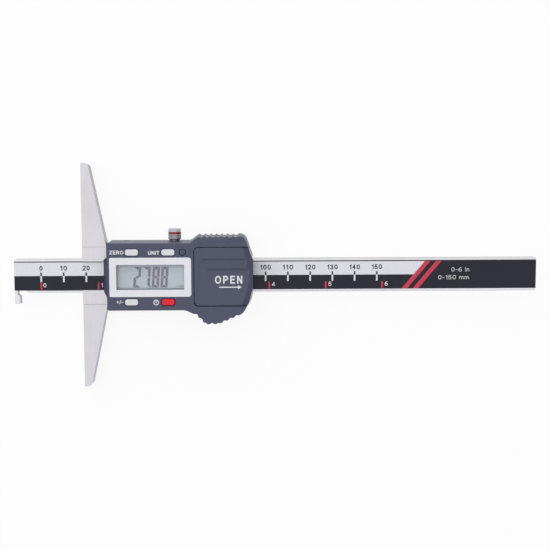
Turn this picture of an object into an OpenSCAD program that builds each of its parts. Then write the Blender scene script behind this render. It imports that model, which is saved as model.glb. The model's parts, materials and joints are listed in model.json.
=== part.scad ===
// Digital depth caliper with a hooked beam, lying on its back with the display up.
// X runs along the beam, with 0 on the measuring face. Y runs across it, with 0 on
// the beam's centre line. Z is 0 on the slider's back and rises towards the display.

/* [Reading] */
// Distance from the hook's inner face to the measuring face
reading = 27.88; // [5:0.01:120]

/* [Beam] */
// Length of the beam from the hook's outer face to its far end
beam_len = 234; // [230:1:280]
// Width of the beam
beam_w = 15; // [14:0.5:16]
// Thickness of the beam
beam_t = 3.3; // [3:0.1:3.8]
// Width of the bare ground land along each edge
land_w = 1.1; // [0.8:0.1:1.6]
// Depth of the channel that holds the scale board and its label
channel_d = 0.9; // [0.8:0.05:1.2]
// Thickness of the printed label
label_t = 0.3; // [0.2:0.05:0.4]
// Width of the dark groove left open above the label
label_groove = 0.4; // [0.2:0.05:0.8]
// Size of the chamfer on the beam's free corners
beam_chamfer = 0.5; // [0.2:0.1:1]

/* [Hook] */
// Thickness of the hook's foot
hook_t = 2.5; // [2:0.1:4]
// Reach of the hook below the beam's edge
hook_drop = 4.9; // [4:0.1:8]
// Thickness of the hook's neck behind its undercut
hook_neck_t = 1.4; // [1:0.1:1.8]
// Height of the hook's flat foot
hook_foot = 3.2; // [2:0.1:3.6]
// Length of the relief cut in the beam's edge beside the hook
relief_len = 3.8; // [2:0.1:6]
// Depth of that relief cut
relief_d = 1; // [0.5:0.1:1.3]

/* [Slider and base] */
// Length of the measuring base
base_len = 100; // [80:1:150]
// Depth of the base along the beam, at the slider block
base_mid = 10.87; // [10:0.1:11]
// Depth of the base along the beam, at each end
base_end = 3.1; // [3:0.1:8]
// Radius at the back corner of each end of the base
base_round = 2.2; // [1:0.1:2.5]
// How far the front of the base lies below the slider block's front
base_step = 0.1; // [0.05:0.05:0.4]
// Width of the slider block
block_w = 25.6; // [25:0.2:26]
// Length of the slider block
block_len = 70; // [68:0.5:72]
// Thickness of the slider's wall behind the beam
back_wall = 3; // [2:0.1:4]
// Thickness of the lips that hold the beam
lip_t = 0.6; // [0.5:0.05:1]
// Running clearance between the beam and the slider
slide_gap = 0.05; // [0.03:0.01:0.1]

/* [Gib and lock] */
// Thickness of the gib strip
gib_t = 0.8; // [0.5:0.1:1]
// Distance of the lock screw from the battery lid's near edge
lock_inset = 9.05; // [8:0.05:10]
// Diameter of the lock screw's thread
lock_d = 3; // [2.5:0.5:3]
// Diameter of the lock screw's knurled head
knob_d = 5.7; // [5:0.1:8]
// Length of the lock screw's head
knob_len = 5; // [4:0.5:8]
// Length of the bare neck between the housing and the head
neck_len = 0.5; // [0.4:0.1:1]
// Number of grooves in the knurl
knurl_count = 24; // [16:1:36]
// Diameter of the gib's set screws
set_screw_d = 2; // [1.6:0.2:2.2]
// Distance of the near set screw from the measuring face
set_screw_near = 19.5; // [18:0.5:21]
// Distance of the far set screw from the slider block's far end
set_screw_inset = 10; // [9:0.5:12]

/* [Housing] */
// Distance of the housing's near edge from the measuring face
housing_x = 11.85; // [11.8:0.05:12]
// Length of the housing along the beam
housing_len = 64.3; // [64:0.1:68]
// Height of the housing's front face above the slider's back
housing_z = 15.6; // [15.4:0.1:17]
// Distance of the housing's upper edge from the centre line
housing_top = 15.1; // [14.8:0.1:16]
// Distance of the housing's lower edge from the centre line
housing_bottom = 14.7; // [14.6:0.1:15.6]
// Thickness of the housing's front wall
front_wall = 2.2; // [1.8:0.1:2.4]
// Thickness of the housing's side walls around the electronics
side_wall = 1.7; // [1.5:0.1:1.8]
// Height of the housing's rim above the slider's back
rim_z = 0.6; // [0.2:0.1:1]
// Distance of the serrated upper grip from the centre line
grip_y = 18; // [17.5:0.1:20]
// Lowest point of the thumb rest from the centre line
rest_y = 21; // [20:0.1:24]
// Spacing of the upper grip's scallops
grip_pitch = 2.5; // [2.3:0.05:3]
// Spacing of the thumb rest's scallops
rest_pitch = 2.9; // [2.6:0.05:3.4]
// Radius of the grip's scallops
scallop_r = 1.15; // [0.8:0.05:1.4]
// Depth of the grip's scallops
scallop_d = 0.65; // [0.3:0.05:0.8]
// How far the side walls spread outwards towards the back
side_draft = 0.5; // [0.2:0.05:0.8]
// How much fuller the far end's corners are at the back than at the front
end_full = 4; // [0:0.5:5]
// Distance of the nose's index edge from the measuring face
nose_x = 9.5; // [8:0.1:11]

/* [Display] */
// Distance between the display's light frame and the battery lid
frame_gap = 1.18; // [1.1:0.02:1.3]
// Width of that frame
bezel_w = 17.3; // [16.5:0.1:17.6]
// Radius at that frame's corners beside the battery lid
bezel_round = 1.2; // [0.6:0.1:1.8]
// Thickness of that frame
bezel_t = 0.9; // [0.6:0.1:1.2]
// Width of the light frame at each end of the display's visible area
frame_side = 3.1; // [2.8:0.1:3.4]
// Width of the display's visible area
screen_w = 10.9; // [9:0.1:11.5]
// Thickness of the clear window
window_t = 0.9; // [0.6:0.1:1.1]
// Thickness of the display glass
lcd_t = 1.8; // [1.4:0.1:2]
// Thickness of the circuit board
board_t = 1; // [0.8:0.1:1.2]

/* [Keys] */
// Length of a key cap
key_len = 5.9; // [5:0.1:6.2]
// Width of a key cap
key_w = 2.9; // [2.6:0.1:3.3]
// Radius at a key cap's corners
key_round = 1.1; // [0.5:0.1:1.3]
// Travel of a key
key_travel = 0.3; // [0.2:0.05:0.4]
// How far a key stands above the housing's front
key_proud = 0.2; // [0:0.05:0.5]
// Diameter of the blanking plug beside the keys
plug_d = 2.9; // [2.4:0.1:3.2]

/* [Battery] */
// Diameter of the coin cell
cell_d = 20; // [19.6:0.1:20]
// Thickness of the coin cell
cell_t = 3.2; // [2.5:0.1:3.2]
// Length of the battery lid along the beam
lid_len = 26.1; // [26:0.05:26.4]
// Distance of the lid's upper edge from the centre line
lid_top = 13.1; // [12.9:0.1:13.3]
// Distance of the lid's lower edge from the centre line
lid_bottom = 12.8; // [12.6:0.1:13]
// Thickness of the lid's plate
lid_t = 1.7; // [1.3:0.1:1.8]
// Radius of the lid's near corners
lid_round = 1.8; // [1:0.1:2.5]
// Drop of the bevel at the lid's far end
bevel_drop = 1.3; // [0.6:0.1:1.6]

/* [Screws] */
// Diameter of the screws that hold the housing
screw_d = 1.8; // [1.6:0.1:2]
// Distance of the near pair of those screws from the measuring face
screw_near = 15.6; // [15.5:0.1:15.8]
// Distance of the far pair from the slider block's far end
screw_inset = 4; // [3.7:0.1:4.4]
// Distance of those screws from the centre line
screw_y = 10.6; // [10.4:0.1:10.8]

/* [Hidden] */
$fn = 64;

// Small overlap that keeps a cut clear of the face it starts from
eps = 0.1;
// Clearance between plastic pieces that are fitted by hand
fit = 0.12;
// Clearance between small steel pieces and what they press on
touch = 0.03;

// Levels, from the slider's back to the housing's front
beam_z = back_wall + slide_gap;
land_z = beam_z + beam_t;
axis_z = beam_z + beam_t / 2;
lip_z = land_z + slide_gap;
slider_t = lip_z + lip_t;
board_z = slider_t + board_t;
wall_z = housing_z - front_wall;
bezel_z = housing_z - bezel_t;
window_z = bezel_z - window_t;
lcd_z = wall_z - lcd_t;
lid_z = housing_z - lid_t;

// The beam's ends and edges
tip_x = -reading - hook_t;
hook_x = -reading;
end_x = tip_x + beam_len;
edge_y = beam_w / 2;
channel_y = edge_y - land_w;

// The gib lies between the beam's upper edge and the slot's upper wall
gib_y = edge_y + slide_gap;
slot_top = gib_y + gib_t + slide_gap;
slot_bottom = -edge_y - slide_gap;
gib_margin = 1;
wall_top = block_w / 2;

// The lock screw's stack along Y, from the gib to the knob's end
pad_t = 0.8;
pad_y = slot_top + 0.1;
pad_d = lock_d - 0.4;
screw_tip_y = pad_y + pad_t + touch;
knob_y = housing_top + side_draft + neck_len;
band_w = 0.9;
ring_t = 0.45;
ring_y = knob_y + knob_len * 0.48;
dome_h = 0.4;
set_screws_at = [set_screw_near, block_len - set_screw_inset];
lock_play = 0.6;

// The housing's outer form
housing_end = housing_x + housing_len;
lid_x = housing_end - lid_len;
lock_x = lid_x - lock_inset;
edge_round = 0.35;
trim = 0.5;
nose_y = 7.2;
nose_wide = 8.7;
nose_land = 0.4;

// The display and the electronics behind it
bezel_x = housing_x + 1.22;
bezel_len = lid_x - frame_gap - bezel_x;
screen_x = bezel_x + frame_side;
screen_len = bezel_len - 2 * frame_side;
screen_y = 0.05;
window_margin = 1.2;
lcd_margin_x = 1;
lcd_margin_y = 1.9;
cavity_x = housing_x + side_wall;
cavity_end = lid_x - 0.45;
board_x = screw_near + 2.2;
board_end = lid_x + 1.75;
board_w = block_w - 0.8;
boss_d = 3.8;
zebra_w = 1.8;
zebra_y = screen_w / 2 + 1.1;
zebra_margin = 0.8;

// The keys: how far each lies in from the housing's near edge or from the lid
upper_y = 11;
lower_y = 10.9;
zero_in = 11.1;
unit_in = 11.25;
step_in = 10.85;
power_in = 11.4;
plug_in = 4.92;
zero_at = [housing_x + zero_in, upper_y];
unit_at = [lid_x - unit_in, upper_y];
step_at = [housing_x + step_in, -lower_y];
power_at = [lid_x - power_in, -lower_y];
plug_at = [lid_x - plug_in, upper_y];
key_gap = 0.2;
flange_w = 0.4;
flange_t = 0.9;
key_seat = 0.05;
key_foot = wall_z - key_seat - flange_t;
pad_gap = 0.05;
sheet_t = 0.8;
sheet_w = 3.2;
sheet_edge = 0.6;
dome_r = 1.55;
chip_r = 3.4;
chip_h = 1.2;

// The battery bay under the lid
cell_x = lid_x + 2.45 + cell_d / 2;
cell_gap = 0.25;
bay_z = lid_z - 0.7 - cell_t;
rail_t = 1;
rail_w = 2.6;
rail_out = 0.9;
end_wall_z = 9;
end_wall_t = 2;
contact_t = 0.3;
leaf_w = 4;
leaf_room = 0.6;
plus_y = [-6.6, -3.9];
plus_room = [1.5, 0.3];
block_play = 0.3;
exit_gap = 0.5;
bevel_back = 36.15;
bevel_at = [housing_end - bevel_back, 0.4];
bevel_r = 33.3;
bevel_w = 2.9;
hollow_r = 22;
hollow_d = 0.25;
hollow_y = 6.2;
hollow_margin = [3, 6.1];

// The screws behind the slider
screw_head_d = 2 * screw_d;
screw_len = 9.2;
screw_play = 0.1;
board_screw_d = 1.4;
screw_far = block_len - screw_inset;
board_screw_at = [lid_x - 3.05, 10.9];
board_hole_len = 3;
board_thread_len = 2.6;
board_head_d = 2.6;
board_head_t = 0.8;
slot_w = 0.35;

// A unit vector along v
function unit(v) = v / norm(v);

// The outward normal of the edge from a to b, in a path that runs anticlockwise
function outward(a, b) = let(u = unit(b - a)) [u.y, -u.x];

// The corner b moved outwards by g, so that both of its edges move by g
function moved(a, b, c, g) =
    let(m = outward(a, b), n = outward(b, c))
    b + g * (m + n) / (1 + m * n);

// Which way the path turns at b: 1 to the left, -1 to the right
function turn(a, b, c) = sign((b - a).x * (c - b).y - (b - a).y * (c - b).x);

// The arc of radius r that rounds the corner b, as n + 1 points
function corner_arc(a, b, c, r, n) =
    let(
        u = unit(a - b),
        v = unit(c - b),
        half = acos(u * v) / 2,
        centre = b + unit(u + v) * r / sin(half),
        start = b + u * r / tan(half) - centre,
        from = atan2(start.y, start.x),
        sweep = turn(a, b, c) * (180 - 2 * half)
    )
    [for (i = [0:n]) centre + r * [cos(from + sweep * i / n), sin(from + sweep * i / n)]];

// A closed path of [x, y, radius] corners, moved outwards by g and rounded
function rounded(path, g = 0, n = 6) =
    let(
        count = len(path),
        flat = [for (p = path) [p.x, p.y]],
        at = function(i) flat[(i + count) % count],
        grown = [for (i = [0:count - 1]) moved(at(i - 1), at(i), at(i + 1), g)],
        next = function(i) grown[(i + count) % count]
    )
    [for (i = [0:count - 1])
        let(r = path[i].z + g * turn(at(i - 1), at(i), at(i + 1)))
        each corner_arc(next(i - 1), next(i), next(i + 1), max(r, 0.1), n)];

// The housing's outline as corners. Its far end is tucked in by g, so that it stays
// upright where the outline grows by g, and its corners there are fuller by e.
function housing_path(g = 0, e = 0) = [
    [housing_x, -housing_bottom, 1],
    [lid_x - 4, -housing_bottom, 5],
    [lid_x + 0.8, -housing_bottom - 2.2, 4],
    [lid_x + 5, -rest_y, 1.8],
    [lid_x + 10.8, -rest_y + 0.1, 4],
    [housing_end - 4.6, -rest_y + 4.7, 5],
    [housing_end - 1.95 + e * 0.12, -11.2 - e * 0.15, 8],
    [housing_end - 0.15 - g, -4 - e, 9],
    [housing_end - 0.15 - g, 6.9 + e * 0.35, 7],
    [housing_end - 3.95, grip_y, 3],
    [lid_x + 2, grip_y, 2],
    [lid_x - 1.85, housing_top, 3.5],
    [housing_x, housing_top, 1]
];

// The part of that outline that carries the thumb rest's scallops
rest_path = [
    [lid_x - 0.68, -housing_bottom - 1.52],
    [lid_x + 0.8, -housing_bottom - 2.2],
    [lid_x + 5, -rest_y],
    [lid_x + 10.8, -rest_y + 0.1],
    [housing_end - 6.05, -rest_y + 4.07]
];

// The part that carries the upper grip's scallops
grip_path = [[lid_x + 2, grip_y], [housing_end - 6.55, grip_y]];

// The length of a path from its point i onwards
function run(path, i = 0) =
    i >= len(path) - 1 ? 0 : norm(path[i + 1] - path[i]) + run(path, i + 1);

// The point at distance s along a path
function along(path, s, i = 0) =
    let(step = norm(path[i + 1] - path[i]))
    s <= step || i == len(path) - 2
        ? path[i] + (path[i + 1] - path[i]) * s / step
        : along(path, s - step, i + 1);

// The direction of a path at distance s
function heading(path, s, i = 0) =
    let(step = norm(path[i + 1] - path[i]))
    s <= step || i == len(path) - 2
        ? unit(path[i + 1] - path[i])
        : heading(path, s - step, i + 1);

// A solid through rings of points, from its lowest ring to its highest
module loft(rings) {
    n = len(rings[0]);
    m = len(rings);
    sides = [for (k = [0:m - 2]) for (i = [0:n - 1])
        let(a = k * n + i, b = k * n + (i + 1) % n)
        each [[a, a + n, b + n], [a, b + n, b]]];
    base = [for (i = [0:n - 1]) i];
    top = [for (i = [n - 1:-1:0]) (m - 1) * n + i];
    polyhedron([for (ring = rings) each ring], concat([base], sides, [top]));
}

// One ring of the housing's outer form, at height z
function housing_ring(z, g, e) =
    [for (p = rounded(housing_path(max(g, 0), e), g)) [p.x, p.y, z]];

// The housing's outer form: drafted sides under a softly rounded front edge. The
// loft runs past both levels and is trimmed flat, so that each end is one plane.
module housing_form() {
    shoulder_z = housing_z - 3 * edge_round;
    more = 1 + trim / (shoulder_z - rim_z);
    crown = edge_round * 1.2 + trim * 0.87;
    intersection() {
        loft([
            housing_ring(rim_z - trim, side_draft * more, end_full * more),
            housing_ring(shoulder_z, 0, 0),
            housing_ring(housing_z - edge_round, -edge_round / 3, 0),
            housing_ring(housing_z + trim, -crown, 0)
        ]);
        box([0, -2 * rest_y, rim_z], [2 * housing_end, 2 * rest_y, housing_z]);
    }
}

// A row of round scallops cut along a path at the given pitch, centred on its length
module scallops(path, pitch, side) {
    count = round(run(path) / pitch);
    margin = (run(path) - (count - 1) * pitch) / 2;
    for (i = [0:count - 1]) {
        s = margin + i * pitch;
        h = heading(path, s);
        out = scallop_r - scallop_d;
        translate(concat(along(path, s) + side * out * [h.y, -h.x], 0))
            cylinder(h = housing_z + 1, r = scallop_r, $fn = 24);
    }
}

// A rectangle with round corners, from corner a to corner b
module round_rect(a, b, r) {
    translate([a.x + r, a.y])
        square([b.x - a.x - 2 * r, b.y - a.y]);
    translate([a.x, a.y + r])
        square([b.x - a.x, b.y - a.y - 2 * r]);
    for (x = [a.x + r, b.x - r])
        for (y = [a.y + r, b.y - r])
            translate([x, y])
                circle(r = r);
}

// A key cap's plan, centred and grown by g
module key_plan(g = 0) {
    round_rect([-key_len / 2 - g, -key_w / 2 - g], [key_len / 2 + g, key_w / 2 + g], key_round + g);
}

// The outline of the display's light frame, grown by g
module frame_plan(g = 0) {
    near = bezel_x;
    far = bezel_x + bezel_len;
    low = screen_y - bezel_w / 2;
    high = screen_y + bezel_w / 2;
    polygon(rounded([
        [near, low, bezel_round / 2],
        [far, low, bezel_round],
        [far, high, bezel_round],
        [near, high, bezel_round / 2]
    ], g));
}

// The battery lid's plan, past the far end and grown by g
module lid_plan(g = 0) {
    round_rect(
        [lid_x - g, -lid_bottom - g],
        [housing_end + 2 * lid_round + 2, lid_top + g], lid_round + g
    );
}

// A box from corner a to corner b
module box(a, b) {
    translate(a)
        cube(b - a);
}

// Children drawn along Z are laid along +Y, at distance x and level z
module across(x, y, z) {
    translate([x, y, z])
        rotate([-90, 0, 0])
            children();
}

// A profile in X and Z, extruded from y0 to y1
module ribbon(points, y0, y1) {
    translate([0, y1, 0])
        rotate([90, 0, 0])
            linear_extrude(y1 - y0)
                polygon(points);
}

// Places its children at each of the four housing screws
module at_screws() {
    for (x = [screw_near, screw_far])
        for (side = [-1, 1])
            translate([x, side * screw_y, 0])
                children();
}

// Places its children at each of the two circuit board screws
module at_board_screws() {
    for (side = [-1, 1])
        translate([board_screw_at.x, side * board_screw_at.y, 0])
            children();
}

// The beam: one ground steel bar with a channel for the scale and a hooked tip
module beam() {
    foot_y = -edge_y - hook_drop;
    neck_y = foot_y + hook_foot;
    color("lightgray")
        difference() {
            translate([0, 0, beam_z])
                linear_extrude(beam_t)
                    polygon([
                        [tip_x, foot_y],
                        [hook_x, foot_y],
                        [hook_x, neck_y],
                        [tip_x + hook_neck_t, neck_y + (hook_t - hook_neck_t)],
                        [tip_x + hook_neck_t, -edge_y + relief_d],
                        [hook_x + relief_len - relief_d, -edge_y + relief_d],
                        [hook_x + relief_len, -edge_y],
                        [end_x - beam_chamfer, -edge_y],
                        [end_x, -edge_y + beam_chamfer],
                        [end_x, edge_y - beam_chamfer],
                        [end_x - beam_chamfer, edge_y],
                        [tip_x + beam_chamfer, edge_y],
                        [tip_x, edge_y - beam_chamfer]
                    ]);
            box([tip_x - eps, -channel_y, land_z - channel_d], [end_x + eps, channel_y, land_z + eps]);
        }
}

// The scale: a thin circuit strip whose copper pattern the slider reads
module scale_board() {
    color("darkgoldenrod")
        box([tip_x, -channel_y, land_z - channel_d], [end_x, channel_y, land_z - label_t]);
}

// The printed label that covers the scale board
module scale_label() {
    color("whitesmoke")
        box([tip_x, -channel_y, land_z - label_t], [end_x, channel_y - label_groove, land_z]);
}

// The base's plan: a long tapered bar with a straight measuring edge at X = 0
base_path = [
    [0, -base_len / 2, 0.4],
    [base_end, -base_len / 2, base_round],
    [base_mid, -wall_top, 0.4],
    [base_mid, wall_top, 0.4],
    [base_end, base_len / 2, base_round],
    [0, base_len / 2, 0.4]
];

// The slider: measuring base and beam guide in one piece of hardened steel
module slider_frame() {
    color("silver")
        difference() {
            union() {
                linear_extrude(slider_t - base_step)
                    polygon(rounded(base_path));
                box([0, -wall_top, 0], [block_len, wall_top, slider_t]);
            }
            box([-eps, slot_bottom, back_wall], [block_len + eps, slot_top, lip_z]);
            box([-eps, -channel_y, lip_z - eps], [block_len + eps, channel_y, slider_t + eps]);
            across(lock_x, slot_top - eps, axis_z)
                cylinder(h = wall_top - slot_top + 2 * eps, d = lock_d + 0.1);
            for (x = set_screws_at)
                across(x, slot_top - eps, axis_z)
                    cylinder(h = wall_top - slot_top + 2 * eps, d = set_screw_d + 2 * touch);
            at_screws() {
                translate([0, 0, -eps])
                    cylinder(h = slider_t + 2 * eps, d = screw_d + 2 * screw_play);
                translate([0, 0, -eps])
                    cylinder(h = screw_d / 2 + 0.3 + eps, d = screw_head_d + 2 * screw_play);
            }
            at_board_screws()
                translate([0, 0, slider_t - board_hole_len])
                    cylinder(h = board_hole_len + eps, d = board_screw_d + 2 * touch);
        }
}

// The gib: a brass strip that takes up the play at the beam's upper edge
module gib_strip() {
    color("goldenrod")
        box([gib_margin, gib_y, beam_z], [block_len - gib_margin, gib_y + gib_t, lip_z - slide_gap]);
}

// Two set screws that bear on the gib, each with a driver slot
module gib_set_screws() {
    tip = gib_y + gib_t + touch;
    screw_end = wall_top - 0.4;
    color("dimgray")
        for (x = set_screws_at)
            across(x, tip, axis_z)
                difference() {
                    cylinder(h = screw_end - tip, d = set_screw_d);
                    translate([0, 0, screw_end - tip - 0.6 + eps / 2])
                        cube([set_screw_d + 1, 0.4, 1.2 + eps], center = true);
                }
}

// The brass pad between the lock screw's tip and the gib
module lock_pad() {
    color("goldenrod")
        across(lock_x, pad_y, axis_z)
            cylinder(h = pad_t, d = pad_d);
}

// A knurled disc: its rim is a ring of small ridges
module knurled(d, h) {
    ridge = 0.16;
    linear_extrude(h)
        polygon([for (i = [0:2 * knurl_count - 1])
            let(r = d / 2 - (i % 2) * ridge, a = i * 180 / knurl_count)
            r * [cos(a), sin(a)]]);
}

// The lock screw: a threaded stem with a knurled head in two bands
module lock_screw() {
    color("silver")
        across(lock_x, 0, axis_z) {
            translate([0, 0, screw_tip_y])
                cylinder(h = knob_y - screw_tip_y + eps, d = lock_d);
            translate([0, 0, knob_y])
                knurled(knob_d, ring_y - knob_y);
            translate([0, 0, ring_y - eps])
                cylinder(h = band_w + 2 * eps, d = knob_d - 2 * ring_t);
            translate([0, 0, ring_y + band_w])
                knurled(knob_d, knob_y + knob_len - dome_h - ring_y - band_w);
            translate([0, 0, knob_y + knob_len - dome_h])
                rotate_extrude()
                    polygon([[0, 0], [knob_d / 2 - 0.2, 0], [knob_d / 2 - 0.6, dome_h * 0.7], [0, dome_h]]);
        }
}

// The coloured ring set in the groove of the lock screw's head
module lock_ring() {
    color("crimson")
        across(lock_x, ring_y, axis_z)
            difference() {
                cylinder(h = band_w, d = knob_d);
                translate([0, 0, -eps])
                    cylinder(h = band_w + 2 * eps, d = knob_d - 2 * ring_t + 0.02);
            }
}

// The nose: a sloping lip over the beam whose edge is the scale's index line
module nose() {
    intersection() {
        ribbon([
            [nose_x, slider_t + fit],
            [nose_x, slider_t + nose_land],
            [housing_x + 0.1, housing_z - edge_round],
            [housing_x + side_wall, housing_z - edge_round],
            [housing_x + side_wall, slider_t + fit]
        ], -nose_wide, nose_wide);
        linear_extrude(housing_z)
            polygon([
                [nose_x, -nose_y],
                [housing_x + side_wall, -nose_wide - side_wall * 0.6],
                [housing_x + side_wall, nose_wide + side_wall * 0.6],
                [nose_x, nose_y]
            ]);
    }
}

// The room that the battery lid takes in the housing, grown by g
module lid_room(g) {
    translate([0, 0, lid_z - g])
        linear_extrude(lid_t + g + 1)
            lid_plan(g);
    box(
        [lid_x + 1 - g, -lid_bottom - rail_out - g, lid_z - rail_t - g],
        [housing_end + 2, lid_top + rail_out + g, lid_z + g]
    );
    box(
        [housing_end - end_wall_t - g, -lid_bottom - g, end_wall_z - g],
        [housing_end + 2, lid_top + g, lid_z]
    );
}

// The keys' places, in the order zero, unit, step, power
keys_at = [zero_at, unit_at, step_at, power_at];

// Everything cut out of the housing
module housing_cuts() {
    box([housing_x - 2, -wall_top - fit, -eps], [block_len + block_play, wall_top + fit, slider_t]);
    box([block_len, -edge_y - exit_gap, -eps], [housing_end + 4, slot_top, slider_t]);
    difference() {
        box(
            [cavity_x, -housing_bottom + side_wall, slider_t - eps],
            [cavity_end, housing_top - side_wall, wall_z]
        );
        at_screws()
            translate([0, 0, slider_t])
                cylinder(h = housing_z, d = boss_d);
        for (side = [0, 1])
            mirror([0, side, 0])
                box([cavity_x - 1, screw_y, 0], [screw_near, housing_top, housing_z]);
    }
    at_screws()
        translate([0, 0, slider_t - eps])
            cylinder(h = screw_len - slider_t + 0.6, d = screw_d + touch);
    translate([0, 0, bezel_z])
        linear_extrude(bezel_t + eps)
            frame_plan(fit);
    box(
        [screen_x - window_margin - fit, screen_y - screen_w / 2 - window_margin - fit, wall_z - eps],
        [
            screen_x + screen_len + window_margin + fit,
            screen_y + screen_w / 2 + window_margin + fit,
            bezel_z + eps
        ]
    );
    for (at = keys_at)
        translate([at.x, at.y, wall_z - eps])
            linear_extrude(front_wall + 2 * eps)
                key_plan(key_gap);
    translate([plug_at.x, plug_at.y, wall_z - eps])
        cylinder(h = front_wall + 2 * eps, d = plug_d + fit);
    lid_room(fit);
    translate([cell_x, (lid_top - lid_bottom) / 2, bay_z])
        cylinder(h = lid_z - bay_z, r = cell_d / 2 + cell_gap);
    leaf_slot = leaf_w / 2 + leaf_room;
    box([cavity_end - eps, -leaf_slot, board_z], [cell_x, leaf_slot, bay_z + eps]);
    box([cavity_end - eps, -leaf_slot, slider_t - eps], [board_end + fit, leaf_slot, board_z + eps]);
    box(
        [cavity_end - eps, -board_w / 2 - fit, slider_t - eps],
        [board_end + fit, board_w / 2 + fit, board_z]
    );
    box(
        [cavity_end - eps, plus_y[0] - plus_room[0], board_z - eps],
        [cell_x - cell_d * 0.4, plus_y[1] + plus_room[1], lid_z - rail_t]
    );
    across(lock_x, wall_top, axis_z)
        cylinder(h = housing_top, d = lock_d + lock_play);
    for (x = set_screws_at)
        across(x, wall_top, axis_z)
            cylinder(h = grip_y, d = set_screw_d + 0.4);
    rest_hollow();
    scallops(grip_path, grip_pitch, -1);
    scallops(rest_path, rest_pitch, 1);
}

// The hollow behind the thumb rest, open at the back, with cross ribs left in it
module rest_hollow() {
    rib_t = 1.2;
    depth = wall_z - 0.4;
    difference() {
        intersection() {
            translate([0, 0, -eps])
                linear_extrude(depth)
                    polygon(rounded(housing_path(), -side_wall - 0.2));
            box([lid_x - 3, -rest_y, -eps], [housing_end - 4, -wall_top - side_wall, depth]);
        }
        for (i = [1:3])
            box([lid_x + i * 5.6, -rest_y, -1], [lid_x + i * 5.6 + rib_t, 0, housing_z]);
    }
}

// The housing: a drafted moulded shell with serrated grips, over the slider's front
module display_housing() {
    color("slategray")
        difference() {
            union() {
                housing_form();
                nose();
            }
            housing_cuts();
        }
}

// The light frame around the display
module display_bezel() {
    color("gainsboro")
        translate([0, 0, bezel_z])
            linear_extrude(bezel_t)
                difference() {
                    frame_plan();
                    translate([screen_x, screen_y - screen_w / 2])
                        square([screen_len, screen_w]);
                }
}

// The clear window behind that frame
module display_window() {
    color("lightcyan", 0.5)
        box(
            [screen_x - window_margin, screen_y - screen_w / 2 - window_margin, window_z],
            [
                screen_x + screen_len + window_margin,
                screen_y + screen_w / 2 + window_margin,
                bezel_z
            ]
        );
}

// The display glass, held under the front wall
module lcd_panel() {
    color("lightsteelblue")
        box(
            [screen_x - lcd_margin_x, screen_y - screen_w / 2 - lcd_margin_y, lcd_z],
            [screen_x + screen_len + lcd_margin_x, screen_y + screen_w / 2 + lcd_margin_y, wall_z]
        );
}

// A box for one of the two conductive rubber strips, grown by g
module zebra_strip(side, g) {
    box(
        [screen_x - zebra_margin - g, side * zebra_y - zebra_w / 2 - g, board_z - (g > 0 ? eps : 0)],
        [
            screen_x + screen_len + zebra_margin + g,
            side * zebra_y + zebra_w / 2 + g,
            lcd_z + (g > 0 ? eps : 0)
        ]
    );
}

// The two conductive rubber strips between the display glass and the board
module zebra_connectors() {
    color("lightpink")
        intersection() {
            for (side = [-1, 1])
                zebra_strip(side, 0);
            box([board_x, -board_w, 0], [board_end, board_w, housing_z]);
        }
}

// The moulded frame that carries the display glass above the board
module lcd_holder() {
    rim = 1.6;
    color("white")
        difference() {
            box(
                [screen_x - rim, -zebra_y - zebra_w / 2 - 0.9, board_z],
                [screen_x + screen_len + rim, zebra_y + zebra_w / 2 + 0.9, lcd_z]
            );
            for (side = [-1, 1])
                zebra_strip(side, 0.05);
            box(
                [screen_x + 3, -zebra_y + zebra_w / 2 + 0.9, board_z - eps],
                [screen_x + screen_len - 3, zebra_y - zebra_w / 2 - 0.9, lcd_z + eps]
            );
        }
}

// The main circuit board, seated on the slider block's front
module circuit_board() {
    color("darkgreen")
        difference() {
            box([board_x, -board_w / 2, slider_t], [board_end, board_w / 2, board_z]);
            at_board_screws()
                translate([0, 0, slider_t - eps])
                    cylinder(h = board_t + 2 * eps, d = board_screw_d + 0.2);
        }
}

// The controller: a drop of black resin over the bare chip
module controller_chip() {
    color("black")
        translate([screen_x + screen_len / 2, 0, board_z])
            rotate_extrude()
                polygon([
                    [0, 0],
                    [chip_r, 0],
                    [chip_r * 0.94, chip_h * 0.42],
                    [chip_r * 0.7, chip_h * 0.75],
                    [chip_r * 0.35, chip_h * 0.96],
                    [0, chip_h]
                ]);
}

// A rubber key sheet with one dome under each of two keys
module keypad(places) {
    dome_z = key_foot - key_travel - pad_gap;
    dome_h = dome_z - board_z - sheet_t;
    low = places[0].x - key_len / 2 - sheet_edge;
    high = places[1].x + key_len / 2 + sheet_edge;
    color("dimgray") {
        box(
            [low, places[0].y - sheet_w / 2, board_z],
            [high, places[0].y + sheet_w / 2, board_z + sheet_t]
        );
        for (at = places)
            translate([at.x, at.y, board_z + sheet_t - 0.01])
                rotate_extrude()
                    polygon([
                        [0, 0],
                        [dome_r, 0],
                        [dome_r * 0.77, dome_h * 0.6],
                        [dome_r * 0.52, dome_h],
                        [0, dome_h]
                    ]);
    }
}

// The key sheet above the display
module upper_keypad() {
    keypad([zero_at, unit_at]);
}

// The key sheet below the display
module lower_keypad() {
    keypad([step_at, power_at]);
}

// A key cap: a stem through the front wall with a flange behind it
module key_cap(at) {
    translate([at.x, at.y, key_foot]) {
        linear_extrude(flange_t)
            key_plan(flange_w);
        linear_extrude(housing_z + key_proud - key_foot)
            key_plan();
    }
}

// The upper left key
module zero_key() {
    color("gainsboro")
        key_cap(zero_at);
}

// The upper right key
module unit_key() {
    color("gainsboro")
        key_cap(unit_at);
}

// The lower left key
module step_key() {
    color("gainsboro")
        key_cap(step_at);
}

// The power key
module power_key() {
    color("crimson")
        key_cap(power_at);
}

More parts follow.
